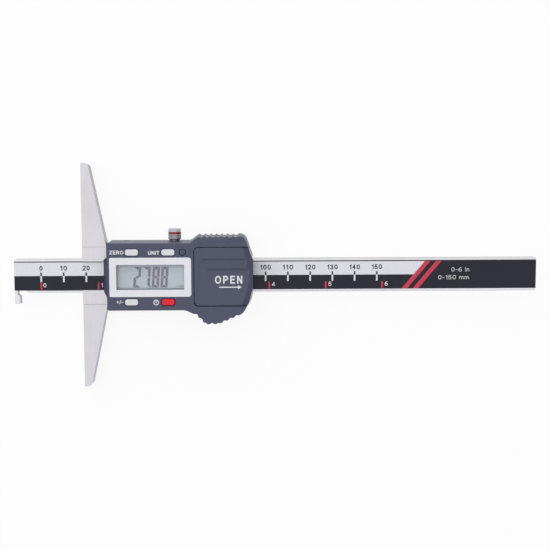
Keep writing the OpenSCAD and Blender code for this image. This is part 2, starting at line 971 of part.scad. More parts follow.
// The plug in the unused hole beside the keys
module blanking_plug() {
    color("slategray")
        translate([plug_at.x, plug_at.y, 0]) {
            translate([0, 0, wall_z - 0.8])
                cylinder(h = 0.8, d = plug_d + 0.9);
            translate([0, 0, wall_z - 0.01])
                cylinder(h = front_wall + 0.01, d = plug_d);
        }
}

// The coin cell: a stepped can with its cap down
module battery() {
    color("silver")
        translate([cell_x, (lid_top - lid_bottom) / 2, bay_z])
            rotate_extrude()
                polygon([
                    [0, 0],
                    [cell_d * 0.44, 0],
                    [cell_d * 0.45, cell_t * 0.2],
                    [cell_d / 2 - 0.2, cell_t * 0.22],
                    [cell_d / 2, cell_t * 0.3],
                    [cell_d / 2, cell_t - 0.2],
                    [cell_d / 2 - 0.2, cell_t],
                    [0, cell_t]
                ]);
}

// The contact that presses on the side of the cell's can
module battery_contact_plus() {
    upright = cell_x - cell_d / 2 - 0.8;
    tip = cell_x - sqrt(pow(cell_d / 2, 2) - pow(plus_y[1], 2)) - 0.25;
    level = bay_z + cell_t * 0.6;
    color("khaki")
        ribbon([
            [upright - 2.6, board_z],
            [upright, board_z],
            [upright, level - 1],
            [tip, level],
            [upright, level + 0.7],
            [upright - contact_t, level + 0.7],
            [upright - contact_t, level + 0.4],
            [tip - contact_t * 1.6, level],
            [upright - contact_t, level - 0.8],
            [upright - contact_t, board_z + contact_t],
            [upright - 2.6, board_z + contact_t]
        ], plus_y[0], plus_y[1]);
}

// The leaf contact that presses on the underside of the cell
module battery_contact_minus() {
    root = board_end - 3;
    tip = cell_x - 2;
    color("khaki")
        ribbon([
            [root, board_z],
            [board_end, board_z],
            [tip - 1.5, bay_z - 0.1 - contact_t],
            [tip, bay_z - 0.5 - contact_t],
            [tip, bay_z - 0.5],
            [tip - 1.5, bay_z - 0.1],
            [board_end - 0.1, board_z + contact_t],
            [root, board_z + contact_t]
        ], -leaf_w / 2, leaf_w / 2);
}

// The battery lid: a plate on side rails, with an end wall and a bevelled far edge
module battery_lid() {
    color("slategray")
        difference() {
            intersection() {
                housing_form();
                union() {
                    translate([0, 0, lid_z])
                        linear_extrude(lid_t + 1)
                            lid_plan();
                    lid_rails();
                    box(
                        [housing_end - end_wall_t, -lid_bottom, end_wall_z],
                        [housing_end + 2, lid_top, lid_z + eps]
                    );
                }
            }
            finger_hollow();
            lid_bevel();
        }
}

// What the bevel takes off the lid's far edge: a ring with a sloping underside
module lid_bevel() {
    reach = 2 * bevel_w;
    translate([bevel_at.x, bevel_at.y, housing_z])
        rotate_extrude($fn = 128)
            polygon([
                [bevel_r, 0],
                [bevel_r + reach, -bevel_drop * reach / bevel_w],
                [bevel_r + reach, 1],
                [bevel_r, 1]
            ]);
}

// The rails that slide in the housing's grooves
module lid_rails() {
    near = lid_x + 1 + 2 * lid_round;
    box(
        [near, lid_top - rail_w, lid_z - rail_t],
        [housing_end + 2, lid_top + rail_out, lid_z]
    );
    box(
        [near, -lid_bottom - rail_out, lid_z - rail_t],
        [housing_end + 2, -lid_bottom + rail_w, lid_z]
    );
}

// The shallow hollow across the lid that a finger pushes against
module finger_hollow() {
    translate([lid_x + hollow_margin.x, hollow_y, housing_z + hollow_r - hollow_d])
        rotate([0, 90, 0])
            cylinder(h = lid_len - hollow_margin.x - hollow_margin.y, r = hollow_r, $fn = 128);
}

// Four countersunk screws that hold the housing from the slider's back
module housing_screws() {
    head_t = screw_d / 2;
    color("dimgray")
        at_screws()
            difference() {
                union() {
                    translate([0, 0, 0.2])
                        cylinder(h = head_t, d1 = screw_head_d, d2 = screw_d);
                    translate([0, 0, 0.2])
                        cylinder(h = screw_len - 0.2, d = screw_d);
                }
                for (turn = [0, 90])
                    rotate([0, 0, turn])
                        translate([0, 0, 0.2])
                            cube([screw_head_d * 0.6, slot_w, screw_head_d / 4], center = true);
            }
}

// Two small screws that hold the circuit board on the slider block
module board_screws() {
    color("silver")
        at_board_screws() {
            translate([0, 0, slider_t - board_thread_len])
                cylinder(h = board_t + board_thread_len, d = board_screw_d);
            translate([0, 0, board_z])
                difference() {
                    cylinder(h = board_head_t, d = board_head_d);
                    translate([0, 0, board_head_t])
                        cube([2 * board_head_d, slot_w, board_head_t], center = true);
                }
        }
}

beam();
scale_board();
scale_label();
slider_frame();
gib_strip();
gib_set_screws();
lock_pad();
lock_screw();
lock_ring();
display_housing();
display_bezel();
display_window();
lcd_panel();
lcd_holder();
zebra_connectors();
circuit_board();
controller_chip();
upper_keypad();
lower_keypad();
zero_key();
unit_key();
step_key();
power_key();
blanking_plug();
battery();
battery_contact_plus();
battery_contact_minus();
battery_lid();
housing_screws();
board_screws();
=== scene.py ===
"""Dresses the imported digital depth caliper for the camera.

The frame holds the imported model. Each operator below makes one piece, or one group of
like pieces, on top of it: it copies or replaces the plain solids, gives every surface its
finish and lets the piece ride on its body. Lengths are metres, as in the frame, and places
written in millimetres pass through in_mm or MM. X runs along the beam from the measuring
face, Y across it, and Z out of the display.
"""
import json
import math

import bmesh
import bpy
from mathutils import Matrix, Vector


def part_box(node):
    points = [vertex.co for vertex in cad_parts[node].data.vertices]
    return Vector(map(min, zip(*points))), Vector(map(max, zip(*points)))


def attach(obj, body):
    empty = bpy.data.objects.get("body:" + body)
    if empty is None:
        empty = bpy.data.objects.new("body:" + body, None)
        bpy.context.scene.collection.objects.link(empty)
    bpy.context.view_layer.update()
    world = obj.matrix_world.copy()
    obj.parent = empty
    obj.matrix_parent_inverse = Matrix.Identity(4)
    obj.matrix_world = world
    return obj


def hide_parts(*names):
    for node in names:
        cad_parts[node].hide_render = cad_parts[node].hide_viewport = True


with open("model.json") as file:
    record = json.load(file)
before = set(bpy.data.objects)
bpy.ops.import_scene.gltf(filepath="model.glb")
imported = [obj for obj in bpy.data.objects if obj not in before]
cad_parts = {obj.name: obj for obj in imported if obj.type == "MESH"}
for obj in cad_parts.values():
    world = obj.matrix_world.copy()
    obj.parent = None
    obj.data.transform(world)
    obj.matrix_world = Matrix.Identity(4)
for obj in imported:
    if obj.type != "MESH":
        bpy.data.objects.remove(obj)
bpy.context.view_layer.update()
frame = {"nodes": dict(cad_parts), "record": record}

bl_info = {
    "name": "Digital depth caliper",
    "version": (1, 0, 0),
    "blender": (4, 5, 0),
    "location": "3D View > Sidebar > Depth caliper",
    "description": "Makes the pieces, finishes and studio of a digital depth caliper",
    "category": "Object",
}

MM = 0.001
BODY_OF = {
    node: body
    for body, members in frame["record"]["behaviour"]["bodies"].items()
    for node in members
}

# Faces of a plain solid that meet at less than this angle are one flat face
FLAT = math.radians(0.6)
# An edge that turns by more than this angle is sharp, and is rounded
SHARP = math.radians(32)
# A face whose normal has less than this share of Z belongs to an upright wall
UPRIGHT_WALL = 0.6
# How much higher a printed stroke lies than the one before it, so that their faces part
HAIR = 3e-7
# Height of the ink on the display, its window and the coin cell
THIN_INK = 0.01 * MM
# The axis that a steel's grinding lines follow
ALONG, ACROSS, UPRIGHT = range(3)
# How much longer than wide a grinding line is
LINE_RATIO = 60


# Colours and nodes


def linear(code):
    """An sRGB hex colour as the linear numbers that a shader works with."""
    parts = [int(code[i : i + 2], 16) / 255 for i in (1, 3, 5)]
    return tuple(c / 12.92 if c <= 0.04045 else ((c + 0.055) / 1.055) ** 2.4 for c in parts)


def put(tree, kind, sockets=None, **settings):
    """Adds one node with its settings.

    A socket takes a value, another node's output, a node for its first output, or a list
    of nodes where it takes several.
    """
    made = tree.nodes.new(kind)
    for key, value in settings.items():
        setattr(made, key, value)
    for key, value in (sockets or {}).items():
        for item in value if isinstance(value, list) else [value]:
            if isinstance(item, bpy.types.Node):
                item = item.outputs[0]
            if isinstance(item, bpy.types.NodeSocket):
                tree.links.new(item, made.inputs[key])
            else:
                made.inputs[key].default_value = item
    return made


def blank_material(name):
    """A material with an empty node tree."""
    material = bpy.data.materials.new(name)
    material.use_nodes = True
    material.node_tree.nodes.clear()
    return material, material.node_tree


def surface(name, colour, roughness, cloud, grain, shader, bump=None, run=None):
    """A finish from two noises in the object's own coordinates.

    The slow one, cloud, is (size, detail, change of tone). The fine one, grain, is
    (size, detail, change of roughness), and bump is its (strength, depth). With run, the
    fine one is drawn out into lines along that axis, and they show in the tone too.
    """
    material, tree = blank_material(name)
    place = put(tree, "ShaderNodeTexCoord").outputs["Object"]
    size, detail, drift = cloud
    tone = put(tree, "ShaderNodeTexNoise", {"Vector": place, "Scale": 1 / size, "Detail": detail})
    size, detail, vary = grain
    scale = 1 / size
    if run is not None:
        stretch = tuple(1 / (size * LINE_RATIO) if i == run else scale for i in range(3))
        place = put(tree, "ShaderNodeMapping", {"Vector": place, "Scale": stretch})
        scale = 1.0
    fine = put(tree, "ShaderNodeTexNoise", {"Vector": place, "Scale": scale, "Detail": detail})
    if run is not None:
        both = put(tree, "ShaderNodeMath", {0: fine, 1: tone}, operation="MULTIPLY")
        tone = put(tree, "ShaderNodeMath", {0: both, 1: 2.0}, operation="MULTIPLY")
    ramp = put(tree, "ShaderNodeValToRGB", {"Fac": tone})
    mean = linear(colour) if isinstance(colour, str) else colour
    for stop, at, shade in zip(ramp.color_ramp.elements, (0.3, 0.7), (1 - drift, 1 + drift)):
        stop.position = at
        stop.color = (*(min(1.0, c * shade) for c in mean), 1.0)
    levels = {"Value": fine, "To Min": roughness - vary, "To Max": roughness + vary}
    sockets = {"Base Color": ramp, "Roughness": put(tree, "ShaderNodeMapRange", levels), **shader}
    if bump:
        relief = {"Height": fine, "Strength": bump[0], "Distance": bump[1]}
        sockets["Normal"] = put(tree, "ShaderNodeBump", relief)
    coat = put(tree, "ShaderNodeBsdfPrincipled", sockets)
    put(tree, "ShaderNodeOutputMaterial", {"Surface": coat})
    return material


def moulded(name, colour, roughness, relief=0.004 * MM, drift=0.03, gloss=0.5, grain=None):
    """Injection-moulded plastic with the fine sparked grain of its steel mould.

    The grain breaks up the highlights into a soft satin, and slow changes of tone show
    where the plastic flowed. A real grain of 0.1 mm is drawn coarser, so that it shows.
    """
    fine = (grain or sizes().grain, 2.0, 0.05)
    shader = {"IOR": 1.53, "Specular IOR Level": gloss}
    return surface(name, colour, roughness, (9 * MM, 3.0, drift), fine, shader, (0.6, relief))


def ground(name, colour, roughness, run, relief=0.004 * MM, width=None):
    """Ground metal: long fine scratches left by the wheel along one axis.

    They pull the reflections out into soft streaks and leave a faint change of tone. Real
    scratches of a few hundredths of a millimetre are drawn coarser, so that they show.
    """
    lines = (width or sizes().scratch, 4.0, 0.06)
    steel = {"Metallic": 1.0}
    cloud = (14 * MM, 2.0, 0.04)
    return surface(name, colour, roughness, cloud, lines, steel, (0.5, relief), run)


def printed(name, colour, roughness=0.4, gloss=0.3):
    """Screen-printed ink: an even colour, a little thinner in places, with a low gloss."""
    film = 1.2 * MM
    shader = {"IOR": 1.5, "Specular IOR Level": gloss}
    return surface(name, colour, roughness, (film, 3.0, 0.02), (film, 3.0, 0.04), shader)


# Meshes


def in_mm(*numbers):
    """Lengths given in millimetres, as a tuple of metres."""
    return tuple(n * MM for n in numbers)


def poured(bm, name, crease=None):
    """A mesh with what was built in a bmesh, which is freed.

    With a crease, in degrees, edges that turn by more than it are shaded as sharp ones.
    """
    if crease:
        for e in bm.edges:
            e.smooth = e.calc_face_angle(0.0) < math.radians(crease)
    mesh = bpy.data.meshes.new(name)
    bm.to_mesh(mesh)
    bm.free()
    return mesh


def plain_mesh(node, name):
    """A CAD node's mesh as points and flat faces, with its doubled points merged."""
    bm = bmesh.new()
    bm.from_mesh(frame["nodes"][node].data)
    bmesh.ops.remove_doubles(bm, verts=bm.verts, dist=2e-6)
    bmesh.ops.dissolve_limit(bm, angle_limit=FLAT, verts=bm.verts, edges=bm.edges)
    bm.verts.ensure_lookup_table()
    points = [tuple(v.co) for v in bm.verts]
    faces = [[v.index for v in f.verts] for f in bm.faces]
    bm.free()
    mesh = bpy.data.meshes.new(name)
    mesh.from_pydata(points, [], faces)
    mesh.validate()
    return mesh


def show(name, mesh, material=None):
    """Puts a mesh in the scene, with its material if one is given."""
    if material:
        mesh.materials.clear()
        mesh.materials.append(material)
    piece = bpy.data.objects.new(name, mesh)
    bpy.context.scene.collection.objects.link(piece)
    return piece


def settled(piece):
    """The mesh that an object's modifiers give."""
    graph = bpy.context.evaluated_depsgraph_get()
    return bpy.data.meshes.new_from_object(piece.evaluated_get(graph))


def softened(piece, width, steps=3, chosen=None):
    """Rounds a piece's sharp edges by the width, and shades it smoothly.

    With a test of an edge, only the sharp edges that pass it are rounded.
    """
    mesh = piece.data
    mesh.shade_smooth()
    edge = piece.modifiers.new("Edge", "BEVEL")
    edge.width = width
    edge.segments = steps
    edge.use_clamp_overlap = False
    edge.loop_slide = False
    edge.harden_normals = True
    edge.limit_method = "WEIGHT" if chosen else "ANGLE"
    edge.angle_limit = SHARP
    if chosen:
        bm = bmesh.new()
        bm.from_mesh(mesh)
        weight = bm.edges.layers.float.new("bevel_weight_edge")
        for e in bm.edges:
            e.smooth = e.calc_face_angle(0.0) < SHARP
            e[weight] = 0.0 if e.smooth else float(chosen(e))
        bm.to_mesh(mesh)
        bm.free()
    rounded = settled(piece)
    piece.modifiers.clear()
    piece.data = rounded
    bpy.data.meshes.remove(mesh)


def rides(piece, body, stands_for=()):
    """Lets a finished piece move with its body, and hides the nodes that it stands for."""
    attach(piece, body)
    if stands_for:
        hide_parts(*stands_for)


def dressed(node, name, material, width, steps=3, slim=0.0):
    """A CAD node's own shape with softened edges, standing for that node.

    A slim one is smaller by that much on each side, so that the gap round it shows.
    """
    piece = show(name, plain_mesh(node, name), material)
    if slim:
        low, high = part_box(node)
        middle, half = (low + high) / 2, (high - low) / 2
        for v in piece.data.vertices:
            for i in (0, 1):
                v.co[i] = middle[i] + (v.co[i] - middle[i]) * (1 - slim / half[i])
    softened(piece, width, steps)
    rides(piece, BODY_OF[node], [node])
    return piece


def refaced(piece, material, test):
    """Gives a second material to the faces whose middle (in mm) and normal pass the test."""
    mesh = piece.data
    mesh.materials.append(material)
    last = len(mesh.materials) - 1
    for face in mesh.polygons:
        if test(face.center / MM, face.normal):
            face.material_index = last


def finished(node, material):
    """Gives a CAD node that keeps its own shape a better surface."""
    mesh = frame["nodes"][node].data
    mesh.materials.clear()
    mesh.materials.append(material)


def prism(name, strokes, low, high, material):
    """Flat strokes, each a list of (x, y) shapes, raised from the low to the high level.

    A stroke that crosses the one before it lies a hair higher, so that their faces part.
    """
    bm = bmesh.new()
    for i, stroke in enumerate(strokes):
        faces = [bm.faces.new([bm.verts.new((x, y, low)) for x, y in s]) for s in stroke]
        for face in faces:
            face.normal_update()
            if face.normal.z < 0:
                face.normal_flip()
        points = {v: None for face in faces for v in face.verts}
        bmesh.ops.remove_doubles(bm, verts=list(points), dist=1e-7)
        faces = [face for face in bm.faces if face.is_valid and not face.tag]
        top = bmesh.ops.extrude_face_region(bm, geom=faces)
        moved = [v for v in top["geom"] if isinstance(v, bmesh.types.BMVert)]
        bmesh.ops.translate(bm, verts=moved, vec=(0, 0, high - low + HAIR * (i % 4)))
        for face in bm.faces:
            face.tag = True
    bmesh.ops.recalc_face_normals(bm, faces=bm.faces)
    return show(name, poured(bm, name), material)


def skinned(bm, rings):
    """Joins each closed ring of points to the next by four-sided faces."""
    for a, b in zip(rings, rings[1:]):
        for k in range(len(a)):
            bm.faces.new((a[k - 1], a[k], b[k], b[k - 1]))


def joined(name, pieces):
    """Several meshes as one object. They lie in place already, so only data is joined."""
    bm = bmesh.new()
    materials = []
    for piece in pieces:
        start = len(bm.faces)
        bm.from_mesh(piece.data)
        bm.faces.ensure_lookup_table()
        for material in piece.data.materials:
            if material not in materials:
                materials.append(material)
        order = [materials.index(m) for m in piece.data.materials]
        for face in bm.faces[start:]:
            face.material_index = order[face.material_index]
    mesh = poured(bm, name)
    for material in materials:
        mesh.materials.append(material)
    for piece in pieces:
        data = piece.data
        bpy.data.objects.remove(piece)
        bpy.data.meshes.remove(data)
    return show(name, mesh)


def box_shape(x0, y0, x1, y1):
    """The corners of an upright rectangle between two of its corners."""
    return [(x0, y0), (x1, y0), (x1, y1), (x0, y1)]


# Lettering


def arc(x, y, across, up, start, end, steps=10):
    """Points on a part of an ellipse, from one angle to another in degrees."""
    angles = [math.radians(start + (end - start) * i / steps) for i in range(steps + 1)]
    return [(x + across * math.cos(a), y + up * math.sin(a)) for a in angles]


# The middle lines of plain upright figures and letters, one unit high, each with its width
STEM = [(0.0, 0.0), (0.0, 1.0)]
SHORT_STEM = [(0.0, 0.0), (0.0, 0.68)]
GLYPHS = {
    " ": (0.2, []),
    "0": (0.54, [arc(0.27, 0.5, 0.27, 0.5, 90, 450, 20)]),
    "1": (0.24, [[(0.06, 0.8), (0.24, 0.97), (0.24, 0.0)]]),
    "2": (0.54, [arc(0.27, 0.72, 0.27, 0.28, 165, -35, 12) + [(0.0, 0.0), (0.54, 0.0)]]),
    "3": (
        0.54,
        [arc(0.26, 0.75, 0.24, 0.25, 155, -90), arc(0.26, 0.25, 0.28, 0.25, 90, -155, 12)],
    ),
    "4": (0.56, [[(0.42, 0.0), (0.42, 1.0)], [(0.39, 0.95), (0.0, 0.28), (0.56, 0.28)]]),
    "5": (
        0.54,
        [[(0.5, 1.0), (0.1, 1.0), (0.04, 0.5)] + arc(0.26, 0.31, 0.28, 0.31, 118, -140, 12)],
    ),
    "6": (
        0.54,
        [arc(0.27, 0.3, 0.27, 0.3, 90, 450, 18), arc(0.36, 0.32, 0.36, 0.68, 180, 72, 8)],
    ),
    "7": (0.54, [[(0.0, 1.0), (0.54, 1.0), (0.2, 0.0)]]),
    "8": (
        0.54,
        [arc(0.27, 0.755, 0.23, 0.245, 90, 450, 18), arc(0.27, 0.255, 0.27, 0.255, 90, 450, 18)],
    ),
    "9": (
        0.54,
        [arc(0.27, 0.7, 0.27, 0.3, 90, 450, 18), arc(0.18, 0.68, 0.36, 0.68, 0, -108, 8)],
    ),
    "-": (0.3, [[(0.0, 0.42), (0.3, 0.42)]]),
    "+": (0.5, [[(0.0, 0.5), (0.5, 0.5)], [(0.25, 0.22), (0.25, 0.78)]]),
    "/": (0.3, [[(0.0, 0.0), (0.3, 1.0)]]),
    "i": (0.0, [SHORT_STEM, [(0.0, 0.86), (0.0, 1.0)]]),
    "n": (
        0.4,
        [SHORT_STEM, [(0.0, 0.42)] + arc(0.2, 0.42, 0.2, 0.26, 150, 0, 6) + [(0.4, 0.0)]],
    ),
    "m": (
        0.72,
        [
            SHORT_STEM,
            [(0.0, 0.45)] + arc(0.18, 0.45, 0.18, 0.23, 150, 0, 6) + [(0.36, 0.0)],
            [(0.36, 0.45)] + arc(0.54, 0.45, 0.18, 0.23, 150, 0, 6) + [(0.72, 0.0)],
        ],
    ),
    "E": (0.5, [[(0.48, 1.0), (0.0, 1.0), (0.0, 0.0), (0.5, 0.0)], [(0.0, 0.52), (0.44, 0.52)]]),
    "I": (0.0, [STEM]),
    "N": (0.56, [STEM, [(0.07, 0.93), (0.49, 0.07)], [(0.56, 0.0), (0.56, 1.0)]]),
    "O": (0.68, [arc(0.34, 0.5, 0.34, 0.5, 90, 450, 24)]),
    "P": (0.52, [STEM, [(0.0, 1.0)] + arc(0.28, 0.73, 0.24, 0.27, 90, -90) + [(0.0, 0.46)]]),
    "R": (
        0.54,
        [
            STEM,
            [(0.0, 1.0)] + arc(0.28, 0.75, 0.24, 0.25, 90, -90) + [(0.0, 0.5)],
            [(0.28, 0.5), (0.54, 0.0)],
        ],
    ),
    "T": (0.54, [[(0.0, 1.0), (0.54, 1.0)], [(0.27, 1.0), (0.27, 0.0)]]),
    "U": (
        0.54,
        [[(0.0, 1.0), (0.0, 0.3)] + arc(0.27, 0.28, 0.27, 0.28, 180, 360) + [(0.54, 1.0)]],
    ),
    "Z": (0.54, [[(0.02, 1.0), (0.52, 1.0), (0.0, 0.0), (0.54, 0.0)]]),
}


def penned(points, pen):
    """The four-sided shapes of an even stroke, mitred at its corners, with square ends."""
    points = [Vector(p) for p in points]
    apart = [(b - a).length > pen / 50 for a, b in zip(points, points[1:])]
    points = points[:1] + [p for p, far in zip(points[1:], apart) if far]
    closed = (points[0] - points[-1]).length < pen / 50
    if closed:
        points.pop()
    else:
        points[0] += (points[0] - points[1]).normalized() * pen / 2
        points[-1] += (points[-1] - points[-2]).normalized() * pen / 2
    count = len(points)
    sides = []
    for i, p in enumerate(points):
        first, last = not closed and i == 0, not closed and i == count - 1
        after = p - points[i - 1] if last else points[(i + 1) % count] - p
        before = after if first else p - points[i - 1]
        before, after = before.normalized(), after.normalized()
        along = (before + after).normalized()
        out = Vector((-along.y, along.x))
        reach = pen / 2 / max(0.4, out.dot(Vector((-before.y, before.x))))
        sides.append((p + out * reach, p - out * reach))
    following = sides[1:] + (sides[:1] if closed else [])
    return [[a[1], b[1], b[0], a[0]] for a, b in zip(sides, following)]


def lettering(text, box, pen, gap=0.28):
    """The strokes of a word or number that fills the box (x0, y0, x1, y1)."""
    x0, y0, x1, y1 = box
    wide = sum(GLYPHS[c][0] for c in text) + gap * (len(text) - 1)
    stretch = (x1 - x0 - pen) / wide if wide else 1.0
    tall = y1 - y0 - pen
    made, at = [], 0.0
    for c in text:
        width, strokes = GLYPHS[c]
        for stroke in strokes:
            line = [
                (x0 + pen / 2 + (at + x) * stretch, y0 + pen / 2 + y * tall) for x, y in stroke
            ]
            made.append(penned(line, pen))
        at += width + gap
    return made


# Geometry nodes


def plan(name, **inputs):
    """A geometry node tree with named inputs of these kinds, and those inputs."""
    tree = bpy.data.node_groups.new(name, "GeometryNodeTree")
    sockets = [(label, "INPUT", kind) for label, kind in inputs.items()]
    for label, side, kind in (*sockets, ("Geometry", "OUTPUT", "Geometry")):
        tree.interface.new_socket(name=label, in_out=side, socket_type="NodeSocket" + kind)
    return tree, put(tree, "NodeGroupInput").outputs


def planned(tree, parts, material):
    """Ends a geometry node tree with real faces in one material."""
    real = put(tree, "GeometryNodeRealizeInstances", {"Geometry": parts})
    coated = put(tree, "GeometryNodeSetMaterial", {"Geometry": real, "Material": material})
    put(tree, "NodeGroupOutput", {"Geometry": coated})
    return tree


def tick_row_plan():
    """A row of equal graduation lines at a steady pitch."""
    tree, given = plan(
        "Graduation", Count="Int", Start="Vector", Pitch="Vector", Line="Vector", Ink="Material"
    )
    steps = {"Count": given["Count"], "Start Location": given["Start"], "Offset": given["Pitch"]}
    row = put(tree, "GeometryNodeMeshLine", steps)
    line = put(tree, "GeometryNodeMeshCube", {"Size": given["Line"]})
    placed = put(tree, "GeometryNodeInstanceOnPoints", {"Points": row, "Instance": line})
    return planned(tree, placed, given["Ink"])


def knurl_plan():
    """A straight knurl: small ridges round a core, all along the same axis."""
    tree, given = plan(
        "Knurl", Count="Int", Radius="Float", Ridge="Float", Length="Float", Metal="Material"
    )
    size = {"Radius": given["Radius"], "Depth": given["Length"]}
    circle = {"Vertices": given["Count"], "Radius": given["Radius"]}
    ring = put(tree, "GeometryNodeMeshCircle", circle)
    ridge = put(
        tree, "GeometryNodeMeshCylinder", {**size, "Vertices": 8, "Radius": given["Ridge"]}
    )
    core = put(tree, "GeometryNodeMeshCylinder", {**size, "Vertices": 48})
    placed = put(tree, "GeometryNodeInstanceOnPoints", {"Points": ring, "Instance": ridge})
    both = put(tree, "GeometryNodeJoinGeometry", {"Geometry": [placed, core]})
    return planned(tree, both, given["Metal"])


def grown(name, tree, **values):
    """The plain mesh that a geometry node tree gives for these values of its inputs."""
    seed = bpy.data.meshes.new(name + "_seed")
    maker = show(name, seed)
    grow = maker.modifiers.new("Grow", "NODES")
    grow.node_group = tree
    for item in tree.interface.items_tree:
        if item.in_out == "INPUT" and item.name in values:
            grow[item.identifier] = values[item.name]
    mesh = settled(maker)
    bpy.data.objects.remove(maker)
    bpy.data.meshes.remove(seed)
    if not mesh.polygons:
        raise RuntimeError(name + " grew no faces")
    mesh.name = name
    return show(name, mesh)


# What a user may change


def length_setting(name, description, default):
    """A length that a user may change, with its default in millimetres."""
    return bpy.props.FloatProperty(
        name=name, description=description, default=default * MM, precision=6, unit="LENGTH"
    )


def colour_setting(name, description, code):
    """A colour that a user may change, with its default as an sRGB hex value."""
    return bpy.props.FloatVectorProperty(
        name=name,
        description=description,
        default=linear(code),
        size=3,
        min=0.0,
        max=1.0,
        subtype="COLOR",
    )


class CaliperSizes(bpy.types.PropertyGroup):
    """Sizes of the details that the plain solids don't have."""

    moulded_round: length_setting(
        "Moulded edge", "Rounding of the openings in the housing's front", 0.14
    )
    steel_round: length_setting("Steel edge", "Broken edge of the ground steel pieces", 0.12)
    grain: length_setting("Moulded grain", "Width of the grain in the plastic's surface", 0.4)
    scratch: length_setting("Grinding line", "Width of the scratches in the ground steel", 0.3)
    ink: length_setting(
        "Ink thickness", "How far printed lines and figures stand above the label", 0.012
    )
    tick_width: length_setting(
        "Graduation width", "Width of the scale's graduation lines", 0.73
    )
    figure_height: length_setting("Figure height", "Height of the millimetre figures", 2.25)
    figure_pen: length_setting(
        "Figure stroke", "Width of a stroke of the scale's figures", 0.43
    )
    digit_stroke: length_setting(
        "Display stroke", "Width of a segment of the display's digits", 1.15
    )
    knurl_ridge: length_setting("Knurl ridge", "Radius of a ridge of the knurl", 0.17)
    knurl_count: bpy.props.IntProperty(
        name="Knurl ridges",
        description="Number of ridges round the lock screw's head",
        default=34,
        min=8,
        max=80,
    )


class CaliperColours(bpy.types.PropertyGroup):
    """Colours of the visible finishes."""

    housing: colour_setting("Housing", "Slate grey moulded housing", "#434960")
    bezel: colour_setting("Display frame", "Light frame round the display", "#EDEDF4")
    glass: colour_setting("Display", "Grey-blue of the display at rest", "#BAC6CE")
    segment: colour_setting("Display digits", "Segments of the display", "#585866")
    key: colour_setting("Keys", "Light key caps", "#E4E5EC")
    power: colour_setting("Power key", "Red power key", "#EA1E38")
    label: colour_setting("Label", "Light field of the scale's label", "#E8E9F0")
    label_dark: colour_setting("Label, dark", "Dark field of the scale's label", "#1D1E2B")
    red_ink: colour_setting("Red ink", "Inch lines and slanted stripes", "#D23A52")
    white_ink: colour_setting("White ink", "Figures on dark ground", "#E9EAEE")
    steel: colour_setting("Slider steel", "Satin steel of the base", "#D8D6DC")
    beam: colour_setting("Beam steel", "Ground steel of the beam", "#E2E1E6")
    knob: colour_setting("Lock screw", "Knurled steel of the lock screw", "#B0ABB0")
    ring: colour_setting("Ring", "Enamelled ring of the lock screw", "#960012")


class CaliperStudio(bpy.types.PropertyGroup):
    """Levels of the studio's light."""

    key_watts: bpy.props.FloatProperty(
        name="Key lamp",
        description="Power of the large soft lamp above the object",
        default=9.0,
        unit="POWER",
    )
    fill_watts: bpy.props.FloatProperty(
        name="Fill lamp",
        description="Power of the second lamp, from the right",
        default=0.6,
        unit="POWER",
    )
    ambient: bpy.props.FloatProperty(
        name="Room light",
        description="Strength of the even light from the white room",
        default=0.84,
        subtype="FACTOR",
        min=0.0,
        max=2.0,
    )


def sizes():
    """The sizes as the user has set them."""
    return bpy.context.scene.caliper_sizes


def colours():
    """The colours as the user has set them."""
    return bpy.context.scene.caliper_colours


# Operators


